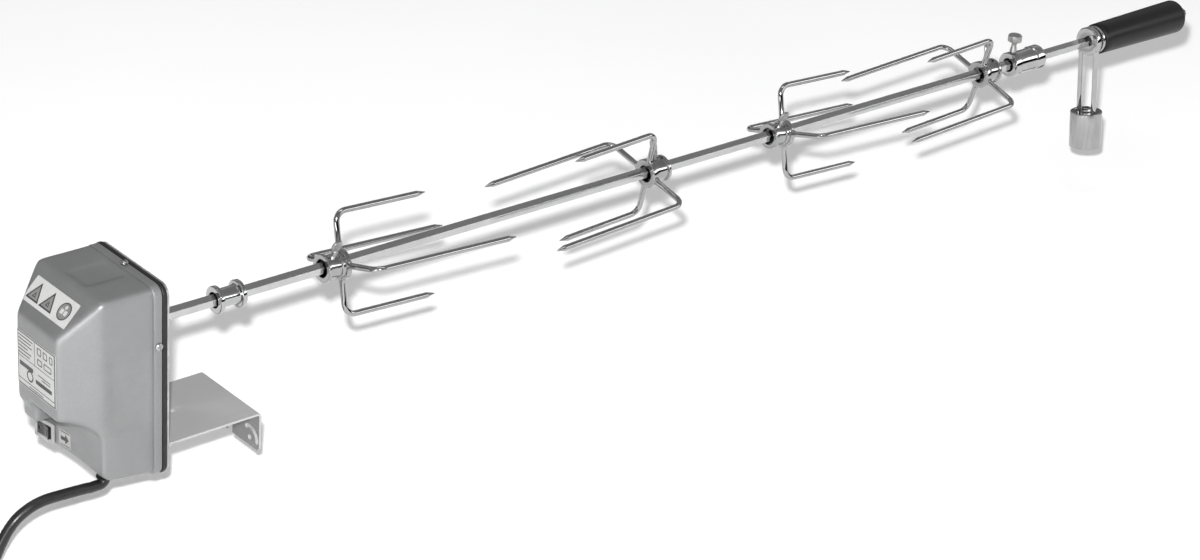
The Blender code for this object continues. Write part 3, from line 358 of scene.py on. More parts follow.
# ------------------------------------------------------------------ materials
class Look:
    """A Principled material with its procedural parts."""

    def __init__(self, name, colour, rough, metal=0.0, spec=0.5, coat=0.0, coat_rough=0.1, aniso=0.0):
        self.m = bpy.data.materials.new(name)
        self.m.use_nodes = True
        self.t = self.m.node_tree
        self.b = self.t.nodes["Principled BSDF"]
        self.b.inputs["Base Color"].default_value = (*colour, 1)
        self.b.inputs["Roughness"].default_value = rough
        self.b.inputs["Metallic"].default_value = metal
        self.b.inputs["Specular IOR Level"].default_value = spec
        self.b.inputs["Coat Weight"].default_value = coat
        self.b.inputs["Coat Roughness"].default_value = coat_rough
        self.b.inputs["Anisotropic"].default_value = aniso
        self.co = self.t.nodes.new("ShaderNodeTexCoord").outputs["Object"]
        self.normal = None

    def new(self, kind, **values):
        n = self.t.nodes.new(kind)
        for k, v in values.items():
            setattr(n, k, v)
        return n

    def mapped(self, stretch=(1, 1, 1), turn=(0, 0, 0), about=(0, 0, 0)):
        n = self.new("ShaderNodeMapping")
        n.inputs["Location"].default_value = about
        n.inputs["Scale"].default_value = stretch
        n.inputs["Rotation"].default_value = turn
        self.t.links.new(self.co, n.inputs["Vector"])
        return n.outputs["Vector"]

    def noise(self, scale, detail=3.0, rough=0.55, stretch=(1, 1, 1), distortion=0.0, turn=(0, 0, 0)):
        n = self.new("ShaderNodeTexNoise")
        n.inputs["Scale"].default_value = scale
        n.inputs["Detail"].default_value = detail
        n.inputs["Roughness"].default_value = rough
        n.inputs["Distortion"].default_value = distortion
        self.t.links.new(self.mapped(stretch, turn), n.inputs["Vector"])
        return n.outputs["Fac"]

    def voronoi(self, scale, feature="F1", stretch=(1, 1, 1)):
        n = self.new("ShaderNodeTexVoronoi", feature=feature)
        n.inputs["Scale"].default_value = scale
        self.t.links.new(self.mapped(stretch), n.inputs["Vector"])
        return n.outputs["Distance"]

    def ramp(self, fac, *stops, smooth=True):
        n = self.new("ShaderNodeValToRGB")
        el = n.color_ramp.elements
        n.color_ramp.interpolation = "EASE" if smooth else "LINEAR"
        for i, (pos, val) in enumerate(stops):
            e = el[i] if i < 2 else el.new(pos)
            e.position = pos
            e.color = (*val, 1) if isinstance(val, tuple) else (val, val, val, 1)
        self.t.links.new(fac, n.inputs["Fac"])
        return n.outputs["Color"]

    def span(self, fac, low, high, lo_in=0.3, hi_in=0.7):
        n = self.new("ShaderNodeMapRange")
        n.inputs["From Min"].default_value = lo_in
        n.inputs["From Max"].default_value = hi_in
        n.inputs["To Min"].default_value = low
        n.inputs["To Max"].default_value = high
        self.t.links.new(fac, n.inputs["Value"])
        return n.outputs["Result"]

    def math(self, op, a, b):
        n = self.new("ShaderNodeMath", operation=op)
        for i, v in enumerate((a, b)):
            if isinstance(v, (int, float)):
                n.inputs[i].default_value = v
            else:
                self.t.links.new(v, n.inputs[i])
        return n.outputs[0]

    def mix(self, fac, a, b, how="MIX"):
        n = self.new("ShaderNodeMix", data_type="RGBA", blend_type=how)
        for key, v in ((0, fac), (6, a), (7, b)):
            s = n.inputs[key]
            if isinstance(v, (int, float)):
                s.default_value = v
            elif isinstance(v, tuple):
                s.default_value = (*v, 1)
            else:
                self.t.links.new(v, s)
        return n.outputs[2]

    def bump(self, height, strength=0.2, distance=0.1):
        n = self.new("ShaderNodeBump")
        n.inputs["Strength"].default_value = strength
        n.inputs["Distance"].default_value = distance * MM
        self.t.links.new(height, n.inputs["Height"])
        if self.normal is not None:
            self.t.links.new(self.normal, n.inputs["Normal"])
        self.normal = n.outputs["Normal"]
        self.t.links.new(self.normal, self.b.inputs["Normal"])
        return self

    def colour(self, s):
        self.t.links.new(s, self.b.inputs["Base Color"])
        return self

    def rough(self, s):
        self.t.links.new(s, self.b.inputs["Roughness"])
        return self


def painted_cover():
    """Silver-grey hammered-fine enamel on a cast shell: flake, orange peel, handling marks."""
    k = Look("cover_enamel", (0.3, 0.302, 0.305), 0.42, metal=0.7, spec=0.5, coat=0.2, coat_rough=0.42)
    cloud = k.noise(14, 4, 0.6)
    flake = k.noise(2600, 2, 0.7)
    base = k.mix(k.span(cloud, 0.0, 1.0), (0.216, 0.218, 0.221), (0.252, 0.254, 0.257))
    base = k.mix(k.span(flake, 0.0, 0.45, 0.45, 0.8), base, (0.46, 0.46, 0.465))
    grime = k.noise(36, 6, 0.7, stretch=(1, 1, 0.35))
    base = k.mix(k.span(grime, 0.0, 0.3, 0.56, 0.8), base, (0.24, 0.238, 0.233))
    k.colour(base)
    k.rough(k.span(k.noise(60, 5, 0.65), 0.44, 0.57))
    k.bump(k.noise(520, 2, 0.5), 0.18, 0.05).bump(k.noise(90, 3, 0.5), 0.10, 0.25)
    return k.m


def rubber(name="rubber", tone=0.014, rough=0.55):
    k = Look(name, (tone, tone, tone * 1.04), rough, spec=0.45)
    dust = k.noise(45, 6, 0.7)
    k.colour(k.mix(k.span(dust, 0.0, 0.6, 0.5, 0.85), (tone, tone, tone * 1.05), (tone * 3.4, tone * 3.4, tone * 3.3)))
    k.rough(k.span(k.noise(130, 4, 0.6), rough - 0.1, rough + 0.12))
    k.bump(k.noise(1500, 3, 0.6), 0.25, 0.04)
    return k.m


def chrome(name, along, rough=(0.07, 0.17), tone=0.72, scratch=0.05, dull=0.0):
    """Bright plating; along gives the direction that polishing marks run in: X, R (round the spit) or N (none)."""
    k = Look(name, (tone, tone, tone * 1.005), rough[0], metal=1.0)
    stretch = {"X": (0.02, 1, 1), "R": (1, 0.03, 0.03), "N": (1, 1, 1)}[along]
    marks = k.noise(2400, 3, 0.7, stretch=stretch)
    smear = k.noise(55, 5, 0.65, distortion=0.6)
    spots = k.noise(260, 4, 0.7)
    base = k.mix(k.span(smear, 0.0, 1.0, 0.35, 0.75), (tone, tone, tone * 1.01), (tone * 0.86, tone * 0.86, tone * 0.86))
    base = k.mix(k.span(spots, 0.0, 0.5, 0.66, 0.82), base, (tone * 0.55, tone * 0.54, tone * 0.52))
    k.colour(base)
    r = k.math("ADD", k.span(smear, rough[0] + dull, rough[1] + dull, 0.3, 0.75), k.span(marks, 0.0, scratch))
    k.rough(r)
    k.bump(marks, 0.06 + scratch, 0.02).bump(k.noise(120, 2, 0.5), 0.05, 0.12)
    return k.m


def brushed(name, tone, stretch, rough=(0.28, 0.42), metal=1.0, strength=0.16, spots=0.35, contrast=0.13):
    k = Look(name, (tone, tone, tone), rough[0], metal=metal, aniso=0.35)
    lines = k.noise(900, 4, 0.7, stretch=stretch)
    broad = k.noise(24, 4, 0.6)
    base = k.mix(k.span(lines, 0.0, 1.0, 0.3, 0.7), (tone * (1 - contrast),) * 3, (min(tone * (1 + contrast), 1),) * 3)
    base = k.mix(k.span(broad, 0.0, spots, 0.5, 0.8), base, (tone * 0.7, tone * 0.69, tone * 0.67))
    k.colour(base)
    k.rough(k.span(lines, rough[0], rough[1]))
    k.bump(lines, strength, 0.03)
    return k.m


def zinc(name="zinc_plate", tone=0.5):
    """Plated sheet with a faint spangle."""
    k = Look(name, (tone, tone, tone), 0.35, metal=0.9)
    cells = k.voronoi(170)
    base = k.mix(k.span(cells, 0.0, 1.0, 0.1, 0.7), (tone * 1.08, tone * 1.08, tone * 1.09), (tone * 0.8, tone * 0.8, tone * 0.8))
    k.colour(base)
    k.rough(k.span(k.noise(320, 3), 0.3, 0.45))
    k.bump(k.noise(700, 3, 0.6), 0.12, 0.04)
    return k.m


def cast(name="cast_knob", tone=0.36):
    k = Look(name, (tone, tone, tone), 0.42, metal=1.0)
    grain = k.noise(900, 5, 0.7)
    worn = k.noise(120, 4, 0.6)
    k.colour(k.mix(k.span(worn, 0.0, 1.0, 0.35, 0.7), (tone * 0.8, tone * 0.8, tone * 0.79), (tone * 1.25, tone * 1.25, tone * 1.25)))
    k.rough(k.span(grain, 0.32, 0.55))
    k.bump(grain, 0.35, 0.06).bump(worn, 0.15, 0.2)
    return k.m


def grip():
    """Black satin lacquer over a turned handle: fine turning rings and a soft sheen."""
    k = Look("grip_lacquer", (0.008, 0.008, 0.009), 0.42, spec=0.22, coat=0.06, coat_rough=0.3)
    rings = k.noise(700, 3, 0.6, stretch=(1, 0.05, 0.05))
    wear = k.noise(38, 6, 0.7, stretch=(0.4, 1, 1))
    k.colour(k.mix(k.span(wear, 0.0, 0.55, 0.52, 0.85), (0.007, 0.007, 0.0075), (0.022, 0.022, 0.023)))
    k.rough(k.span(wear, 0.34, 0.5, 0.3, 0.75))
    k.bump(rings, 0.12, 0.04).bump(k.noise(260, 4, 0.6), 0.08, 0.05)
    return k.m


def plastic(name, tone, rough=0.35, grain=900, strength=0.15, spread=1.25, warm=1.0):
    k = Look(name, (tone, tone * (1 + warm) / 2, tone * warm), rough, spec=0.5)
    cloud = k.noise(70, 4, 0.6)
    k.colour(k.mix(k.span(cloud, 0.0, 1.0), (tone / spread, tone / spread * (1 + warm) / 2, tone / spread * warm), (tone * spread, tone * spread * (1 + warm) / 2, tone * spread * warm)))
    k.rough(k.span(k.noise(150, 4, 0.6), rough - 0.06, rough + 0.08))
    k.bump(k.noise(grain, 3, 0.6), strength, 0.04)
    return k.m


def label_film(name="label_film", tone=0.6):
    """Matt printed foil, a little yellowed and rubbed."""
    k = Look(name, (tone, tone, tone), 0.42, spec=0.4, coat=0.15, coat_rough=0.3)
    rub = k.noise(90, 6, 0.7)
    k.colour(k.mix(k.span(rub, 0.0, 0.7, 0.45, 0.8), (tone, tone, tone * 0.99), (tone * 0.8, tone * 0.8, tone * 0.78)))
    k.rough(k.span(rub, 0.34, 0.5))
    k.bump(k.noise(300, 3, 0.5), 0.1, 0.05)
    return k.m


def metal(name, colour, rough=(0.25, 0.4), stretch=(1, 0.05, 0.05)):
    k = Look(name, colour, rough[0], metal=1.0)
    lines = k.noise(1100, 3, 0.6, stretch=stretch)
    k.colour(k.mix(k.span(k.noise(80, 4), 0.0, 1.0), tuple(c * 0.82 for c in colour), tuple(min(c * 1.1, 1) for c in colour)))
    k.rough(k.span(lines, *rough))
    k.bump(lines, 0.12, 0.03)
    return k.m


M = {
    "cover": painted_cover(),
    "gasket": rubber("gasket_rubber", 0.006, 0.5),
    "cord": rubber("cord_sheath", 0.009, 0.36),
    "zinc": zinc(),
    "bracket": brushed("bracket_steel", 0.45, (0.03, 1, 1), (0.5, 0.62), metal=0.45, strength=0.08, spots=0.15, contrast=0.05),
    "rod": chrome("spit_chrome", "X", (0.08, 0.19), 0.55, 0.08),
    # painted shade: a darker copy of the bracket steel for the flange face under the web, standing in for the shade
    # that face sits in
    "bracket_painted_shade": brushed("bracket_flange_painted_shade", 0.2, (0.03, 1, 1), (0.45, 0.58), metal=0.45, strength=0.08, spots=0.3, contrast=0.1),
    "turned": chrome("turned_chrome", "R", (0.03, 0.09), 0.47, 0.03),
    "wire": chrome("wire_chrome", "N", (0.04, 0.1), 0.4, 0.03),
    "satin": brushed("weight_satin", 0.4, (0.35, 0.35, 0.02), (0.1, 0.2), strength=0.05, spots=0.25, contrast=0.14),
    "cast": cast(),
    "steel": metal("plain_steel", (0.46, 0.46, 0.46)),
    "bright_screw": chrome("screw_zinc", "N", (0.2, 0.34), 0.5, 0.05),
    "grip": grip(),
    "switch": plastic("switch_black", 0.016, 0.22),
    "bezel": plastic("bezel_grey", 0.27, 0.38),
    "sticker": label_film("sticker_film", 0.3),
    "ink_mid": plastic("label_ink_mid", 0.17, 0.45, spread=1.15),
    "label": label_film("label_film", 0.47),
    "label_small": label_film("rating_film", 0.4),
    "ink": plastic("label_ink", 0.03, 0.45, spread=1.3),
    "ink_grey": plastic("label_ink_grey", 0.2, 0.45, spread=1.2),
    "nylon": plastic("gear_nylon", 0.66, 0.45, 400, 0.1, 1.06, 0.9),
    "brass": metal("pinion_brass", (0.62, 0.44, 0.17)),
    "bronze": metal("bearing_bronze", (0.42, 0.27, 0.14), (0.38, 0.55)),
}


def paint(node, key):
    """A CAD node that stays gets its finish."""
    ob = NODES[node]
    ob.data.materials.clear()
    ob.data.materials.append(M[key])


for n, key in {
    "gearbox_plate": "zinc", "motor_can": "zinc", "drive_socket": "steel", "output_gear": "steel", "gear_1": "nylon", "gear_2": "nylon",
    "motor_pinion": "brass", "axle_1": "steel", "axle_2": "steel", "output_bearing": "bronze", "inner_bearing": "bronze",
    "gearbox_post_1": "steel", "gearbox_post_2": "steel", "gearbox_post_3": "steel", "gearbox_post_4": "steel",
    "bracket_rivet_1": "steel", "bracket_rivet_2": "steel", "back_plate": "zinc",
}.items():
    paint(n, key)


# ------------------------------------------------------------------ motor unit: the cover
def chin(x):
    if x > KNEE_X:
        return CHIN_Z + (KNEE_Z - CHIN_Z) * min(max((RIM_X - x) / (RIM_X - KNEE_X), 0.0), 1.0)
    return KNEE_Z + (FOOT_Z - KNEE_Z) * min((KNEE_X - x) / (KNEE_X - STRAIGHT_X), 1.0)


def on_pad(y):
    return PAD_X + (PAD_FAR_Y - 2.5 - y) * math.tan(PAD_TURN)


PAD_M = Matrix.Rotation(PAD_TURN, 3, "Z")
SWITCH_AT = (on_pad(ROCKER_Y), ROCKER_Y, ROCKER_Z)


def cover_shell():
    """Solid outside shape, turned to voxels, smoothed, opened at the back and hollowed."""
    r = 3.0
    rings = []
    for x in (RIM_X + 8.0, RIM_X, KNEE_X, STRAIGHT_X):
        rings.append([(x, y, z) for y, z in rounded(-HALF_W, HALF_W, chin(min(x, RIM_X)), TOP_Z, r)])
    for x, w, top in ((NOSE_X + 1.6, NOSE_HALF_W + 0.7, NOSE_TOP_Z + 0.9), (NOSE_X, NOSE_HALF_W - 0.4, NOSE_TOP_Z - 0.4)):
        rings.append([(x, a, b) for a, b in rounded(-w, w, FOOT_Z, top, r)])
    bm = skin(bmesh.new(), rings)
    line = [(NOSE_X - 10, FOOT_Z - 20), (COVE_X, FOOT_Z - 20), (COVE_X, COVE_Z)]
    rx = COVE_X - NOSE_X
    for k in range(1, 17):
        t = math.radians(90 * k / 16)
        line.append((NOSE_X + rx * math.cos(t), COVE_Z + COVE_RZ * math.sin(t)))
    line.append((NOSE_X - 10, COVE_Z + COVE_RZ))
    low = prism(line, -HALF_W - 20, LEG_Y, "Y")
    leg = [(NOSE_X - 10, FOOT_Z - 20), (COVE_X, FOOT_Z - 20), (COVE_X, 26.0), (NOSE_X + 6.0, 26.0), (NOSE_X + 6.0, 37.0), (NOSE_X + 0.4, 45.0), (NOSE_X - 10, 45.0)]
    far = prism(leg, LEG_Y - 0.5, HALF_W + 20, "Y")
    bm = cut(bm, low, far)
    pad = prism([(COVE_X + 4, PAD_FAR_Y), (PAD_X + 1.2, PAD_FAR_Y), (PAD_X, PAD_FAR_Y - 2.5), (COVE_X - 0.1, PAD_NEAR_Y), (COVE_X + 4, PAD_NEAR_Y)], FOOT_Z + 0.4, PAD_TOP_Z, "Z")
    bm = weld(bm, pad)
    tools = [prism([(-14, TOP_Z - 1.7), (14, TOP_Z - 1.7), (16, TOP_Z + 2), (-16, TOP_Z + 2)], -138.0, RIM_X - RIM_DEEP - 4.0)]
    for s in (-1, 1):
        y = s * (HALF_W - 1.1)
        tools.append(prism([(y, 35.0), (s * (HALF_W + 2), 33.0), (s * (HALF_W + 2), 99.0), (y, 97.0)], -136.5, RIM_X - RIM_DEEP - 4.0))
    bm = cut(bm, *tools)
    ob = scratch(bm)
    remesh = ob.modifiers.new("voxels", "REMESH")
    remesh.mode = "VOXEL"
    remesh.voxel_size = 1.25
    smooth = ob.modifiers.new("soft", "SMOOTH")
    smooth.factor, smooth.iterations = 0.5, 48
    mesh = evaluated(ob)
    drop(ob)
    bm = bmesh.new()
    bm.from_mesh(mesh)
    bpy.data.meshes.remove(mesh)
    end = RIM_X - 1.2
    bmesh.ops.bisect_plane(bm, geom=bm.verts[:] + bm.edges[:] + bm.faces[:], dist=1e-3, plane_co=(end, 0, 0), plane_no=(1, 0, 0), clear_outer=True)
    ob = scratch(bm)
    thick = ob.modifiers.new("wall", "SOLIDIFY")
    thick.thickness, thick.offset, thick.use_rim = 2.3, -1.0, True
    mesh = evaluated(ob)
    drop(ob)
    bm = bmesh.new()
    bm.from_mesh(mesh)
    bpy.data.meshes.remove(mesh)
    bm = cut(bm, moved(box(-7, 13, -9.5, 9.5, -6.8, 6.8), SWITCH_AT, PAD_M), moved(lathe([(-30, 0), (-30, 5.9), (12, 5.9), (12, 0)], 32, "Z"), (-133.0, -30.0, 0)))
    return bm


shell = cover_shell()
SKIN = BVHTree.FromBMesh(shell)
piece("cover_body", shell, "motor_unit", "front_cover", M["cover"], sharp=50)


def rim_rows(profile, y_half, z_low, z_high, radius):
    """Ring of a closed (x, out) profile run round the rim's outline."""
    rows = []
    for x, out in profile:
        pts = rounded(-y_half - out, y_half + out, z_low - out, z_high + out * 0.6, max(radius + out, 1.0), 12)
        rows.append([(x, y, z) for y, z in pts])
    return rows


rim_profile = fillet([(RIM_X - 0.02, -1.4), (RIM_X - 0.02, RIM_OUT), (RIM_X - RIM_DEEP, RIM_OUT), (RIM_X - RIM_DEEP - 0.6, -0.4), (RIM_X - RIM_DEEP - 0.6, -1.4)], {1: 0.5, 2: 0.9}, 4)
rim = loop_band(rim_rows(rim_profile, HALF_W, CHIN_Z, TOP_Z, RIM_R - RIM_OUT))
piece("cover_rim", rim, "motor_unit", None, M["cover"], sharp=40)

g0, g1 = GASKET_X0, GASKET_X1
gasket_profile = fillet([(g0, -4.0), (g0, 2.7), (g1, 2.7), (g1, -4.0)], {1: 1.1, 2: 1.1}, 5)
rows = []
for x, out in gasket_profile:
    pts = rounded(-HALF_W - out, HALF_W + out, CHIN_Z - out + 0.4, TOP_Z + out - 1.4, max(RIM_R + 0.5 + (out - 2.7), 2.0), 12)
    rows.append([(x, y, z) for y, z in pts])
piece("gasket_seal", loop_band(rows), "motor_unit", "cover_gasket", M["gasket"], sharp=40)

# cover screws: pan heads with a cross recess
SCREW_SPOTS = (
    ("cover_screw_top", (0.0, TOP_Z + RIM_OUT), (0.0, 1.0)),
    ("cover_screw_near", (-HALF_W - RIM_OUT, 98.0), (-1.0, 0.0)),
    ("cover_screw_far", (HALF_W + RIM_OUT, 98.0), (1.0, 0.0)),
    ("cover_screw_bottom", (0.0, CHIN_Z - RIM_OUT), (0.0, -1.0)),
)


def along(d):
    return Matrix.Rotation(math.atan2(d[1], d[0]), 3, "X") @ Matrix.Rotation(math.pi / 2, 3, "Z")


for n, (y, z), d in SCREW_SPOTS:
    head = lathe([(-11.0, 0), (-11.0, 1.0), (-10.2, 1.4), (0.3, 1.4), (0.3, 2.6), (0.35, 3.0), (0.6, 3.1), (1.1, 2.95), (1.6, 2.45), (1.95, 1.6), (2.15, 0.7), (2.2, 0)], 40)
    head = cut(head, box(1.2, 4, -1.9, 1.9, -0.35, 0.35), box(1.2, 4, -0.35, 0.35, -1.9, 1.9))
    piece(n.replace("screw", "fixing"), head, "motor_unit", n, M["bright_screw"], at=(SCREW_X, y, z), turn=along(d), sharp=28)

# ------------------------------------------------------------------ switch
bezel = prism(rounded(-11.0, 11.0, -8.5, 8.5, 1.6, 6), -2.0, -0.3)
well = prism(rounded(-9.2, 9.2, -6.5, 6.5, 0.8, 4), -0.6, 12.0)
pocket = prism(rounded(-8.2, 8.2, -5.5, 5.5, 0.6, 4), -4.0, 8.0)
piece("switch_bezel", cut(weld(bezel, well), pocket), "motor_unit", "switch_frame", M["bezel"], at=SWITCH_AT, turn=PAD_M, bevel=0.35, sharp=40, segments=3)
half = 7.3
rock = []
for y, x in ((-half, -2.9), (-4.5, -2.25), (-2.0, -1.72), (0, -1.5), (2.0, -1.72), (4.5, -2.25), (half, -2.9)):
    rock.append((x, y))
rock += [(1.0, half - 0.3), (4.6, 2.2), (4.6, -2.2), (1.0, -half + 0.3)]
key = prism(rock, -5.0, 5.0, "Z")
key = cut(key, box(-2.62, -2.0, -6.1, -3.9, -2.6, 2.6), moved(lathe([(-3.4, 0), (-3.4, 1.6), (-2.0, 1.6), (-2.0, 0)], 28), (0, 5.0, 0)))
piece("switch_key", key, "switch_rocker", "rocker", M["switch"], at=SWITCH_AT, turn=PAD_M @ Matrix.Rotation(math.radians(-8.0), 3, "Z"), bevel=0.3, sharp=28, segments=3)

# ------------------------------------------------------------------ labels and their print
SLOPE_DIR = Vector((NOSE_X - STRAIGHT_X, 0, NOSE_TOP_Z - TOP_Z)).normalized()
SLOPE_OUT = Vector((SLOPE_DIR.z, 0, -SLOPE_DIR.x))
FILM = 0.3


def surface(origin, out, across, up):
    """Matrix that lays (out, across, up) local axes on a face."""
    m = Matrix((out, across, up)).transposed().to_4x4()
    m.translation = origin
    return m


def lay(bm, m, step=2.2):
    """Slices a flat thing finely and lays it on the cover's own curved surface."""
    for axis in (1, 2):
        low = min(v.co[axis] for v in bm.verts)
        high = max(v.co[axis] for v in bm.verts)
        for k in range(1, int((high - low) / step) + 1):
            co, no = [0, 0, 0], [0, 0, 0]
            co[axis], no[axis] = low + (high - low) * k / (int((high - low) / step) + 1), 1
            bmesh.ops.bisect_plane(bm, geom=bm.verts[:] + bm.edges[:] + bm.faces[:], dist=1e-5, plane_co=co, plane_no=no)
    out = (m.to_3x3() @ Vector((1, 0, 0))).normalized()
    for v in bm.verts:
        height, start = v.co.x, m @ Vector((12.0, v.co.y, v.co.z))
        hit = SKIN.ray_cast(start, -out, 24.0)
        v.co = hit[0] + out * height if hit[0] is not None else m @ v.co
    return bm


def plaque(name, stands_for, m, outline, mat, low=0.0, high=FILM, bevel=0.08):
    bm = lay(prism(outline, low, high), m)
    return piece(name, bm, "motor_unit", stands_for, mat, bevel=bevel, sharp=40)


def ink(name, m, shapes, mat, low=0.2, high=0.36):
    """Flat printed shapes: closed outlines of (across, up), each optionally with a hole outline of equal length."""
    bm = bmesh.new()
    for shape in shapes:
        if isinstance(shape, tuple) and len(shape) == 2 and isinstance(shape[0], list):
            outer, inner = shape
            rows = [[bm.verts.new((x, a, b)) for a, b in pts] for pts, x in ((outer, low), (outer, high), (inner, high), (inner, low))]
            n = len(outer)
            for p, q in zip(rows, rows[1:] + rows[:1]):
                for i in range(n):
                    j = (i + 1) % n
                    bm.faces.new((p[i], p[j], q[j], q[i]))
        else:
            lo = [bm.verts.new((low, a, b)) for a, b in shape]
            hi = [bm.verts.new((high, a, b)) for a, b in shape]
            n = len(shape)
            for i in range(n):
                j = (i + 1) % n
                bm.faces.new((lo[i], lo[j], hi[j], hi[i]))
            bm.faces.new(list(reversed(lo)))
            bm.faces.new(hi)
    lay(bm, m)
    return piece(name, bm, "motor_unit", None, mat, sharp=40)


def rect(a0, a1, b0, b1):
    return [(a0, b0), (a1, b0), (a1, b1), (a0, b1)]


def offset_poly(points, k):
    """Polygon moved inwards by k about its centre, edge by edge."""
    n = len(points)
    out = []
    for i in range(n):
        p0, p1, p2 = Vector(points[i - 1]), Vector(points[i]), Vector(points[(i + 1) % n])
        e1, e2 = (p1 - p0).normalized(), (p2 - p1).normalized()
        n1, n2 = Vector((-e1.y, e1.x)), Vector((-e2.y, e2.x))
        d = (n1 + n2).normalized()
        out.append(tuple(p1 + d * (k / max(d.dot(n1), 0.2))))
    return out


mid = Vector((STRAIGHT_X, 0, TOP_Z)).lerp(Vector((NOSE_X, 0, NOSE_TOP_Z)), 0.5) + SLOPE_OUT * 0.05 + Vector((0, 1.8, 0))
warn = surface(mid, SLOPE_OUT, Vector((0, 1, 0)), -SLOPE_DIR)
plaque("warning_film", "warning_label", warn, rounded(-29.2, 29.2, -10.4, 10.4, 1.0, 4), M["label"])
shapes, fills, marks = [], [], []
for middle in (19.0, 0.9):
    tri = [(middle - 8.4, -7.4), (middle + 8.4, -7.4), (middle, 7.6)]
    shapes.append((tri, offset_poly(tri, 1.25)))
    fills.append(offset_poly(tri, 1.2))
    small = [(middle - 2.3, -4.6), (middle + 2.3, -4.6), (middle, -0.2)]
    marks.append((small, offset_poly(small, 0.75)))
shapes.append((circle(7.1, 40, -18.4, 0.0), circle(6.2, 40, -18.4, 0.0)))
fills.append(circle(6.25, 40, -18.4, 0.0))
ink("warning_print", warn, shapes, M["ink"])
ink("warning_fill", warn, fills, M["ink_mid"], 0.2, 0.34)
ink("warning_marks", warn, marks, M["ink"], 0.28, 0.39)
ink("warning_blocks", warn, [rounded(-22.4, -19.0, -2.6, 1.2, 0.5, 3), rounded(-18.0, -14.4, -2.6, 1.2, 0.5, 3), circle(1.5, 20, -18.4, 3.4)], M["label"], 0.28, 0.39)

rate = surface(Vector((NOSE_X + 0.05, 0.3, 81.0)), Vector((-1, 0, 0)), Vector((0, 1, 0)), Vector((0, 0, 1)))
plaque("rating_film", "rating_label", rate, rounded(-26.8, 26.8, -22.4, 22.4, 1.0, 4), M["label_small"])
edge = rect(-26.2, 26.2, -21.8, 21.8)
lines = [(edge, offset_poly(edge, 0.9))]
lines.append(rect(-25.4, 25.4, 1.2, 1.7))
lines.append(rect(-25.4, 25.4, -17.4, -16.8))
lines.append(rect(1.2, 1.7, 1.7, 21.2))
ink("rating_frame", rate, lines, M["ink"])
rows_of = []
for i, w in enumerate((20.0, 17.5, 19.0, 13.0, 18.0, 15.5)):
    b = 18.6 - i * 2.9
    rows_of.append(rect(24.2 - w, 24.2, b - 0.45, b + 0.45))
for i, (a, b, w, h) in enumerate(((-5.0, 15.5, 5.6, 6.0), (-13.2, 15.5, 5.6, 6.0), (-21.2, 15.5, 4.4, 6.0), (-5.6, 6.8, 6.6, 5.0), (-16.5, 6.8, 10.5, 5.0))):
    o = rounded(a - w / 2, a + w / 2, b - h / 2, b + h / 2, 0.8, 3)
    rows_of.append((o, rounded(a - w / 2 + 0.8, a + w / 2 - 0.8, b - h / 2 + 0.8, b + h / 2 - 0.8, 0.4, 3)))
rows_of.append(rounded(4.0, 23.0, -6.2, -2.6, 0.9, 3))
rows_of.append(rounded(-22.0, 0.5, -12.6, -9.2, 0.9, 3))
rows_of.append((circle(4.6, 28, 8.4, -10.6), circle(3.3, 28, 8.4, -10.6)))
rows_of.append(rect(-20.0, -3.0, -4.6, -3.8))
rows_of.append(rect(-20.0, -8.0, -6.8, -6.0))
rows_of.append(rect(-10.0, 10.0, -19.9, -19.2))
ink("rating_print", rate, rows_of, M["ink"])

sw = surface(Vector((on_pad(4.5), 4.5, 11.5)) + PAD_M @ Vector((-0.08, 0, 0)), PAD_M @ Vector((-1, 0, 0)), PAD_M @ Vector((0, 1, 0)), Vector((0, 0, 1)))
plaque("switch_film", "switch_label", sw, rounded(-6.6, 6.6, -6.8, 6.8, 0.8, 4), M["sticker"])
arrow = [(-4.6, 0.0), (-0.6, 4.2), (-0.6, 1.6), (4.4, 1.6), (4.4, -1.6), (-0.6, -1.6), (-0.6, -4.2)]
ink("switch_print", sw, [arrow, rect(-5.4, 5.4, 5.2, 5.8), rect(-5.4, 5.4, -5.8, -5.2)], M["ink"])

# ------------------------------------------------------------------ cord
cord_low, cord_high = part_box("power_cord")
CORD_R = 4.2
GLAND_X, CORD_Z = -133.0, -13.4
path = bend_line([(GLAND_X, -30, 5.8), (GLAND_X, -30, CORD_Z), (GLAND_X - 13, -30, CORD_Z)], 5.4, 10)
rest = spline([(GLAND_X - 13, -30, CORD_Z), (-152, -30, -12.7), (-170, -30, -11.6), (-184, -30, -11.2), (-196, -30, -13.4), (-207, -30, -18.8), (-215, -30, -26.6), (-221, -30, -36.0), (-226, -30, -46.0), (-229.5, -30, -55.0), (-231.8, -30, -62.6)], 6)
path = path + rest[1:]
piece("mains_cord", sweep(path, [CORD_R - 0.05] * len(path), 28), "motor_unit", "power_cord", M["cord"], bevel=0.3, sharp=50)
b = CORD_R + 0.45
piece("cord_bush", lathe(fillet([(-8.5, b), (-8.5, 6.9), (-7.1, 6.9), (-7.1, 5.4), (3.0, 5.4), (3.0, b)], {0: 0.3, 1: 0.6, 2: 0.2}, 4), 48, "Z"), "motor_unit", "cord_gland", M["gasket"], at=(GLAND_X, -30.0, 0), sharp=40)

# ------------------------------------------------------------------ bracket
T = 2.0
bx0, bx1, top, flange_z, tab_z, half_w = -87.9, 0.0, 9.0, -25.0, -8.0, 39.5


def bent(points, r_in):
    line = bend_line([(x, 0, z) for x, z in points], r_in + T / 2, 10)
    left, right = [], []
    for i, p in enumerate(line):
        a, b2 = line[max(i - 1, 0)], line[min(i + 1, len(line) - 1)]
        d = (b2 - a).normalized()
        n = Vector((-d.z, 0, d.x)) * (T / 2)
        left.append((p.x + n.x, p.z + n.z))
        right.append((p.x - n.x, p.z - n.z))
    return left + right[::-1]


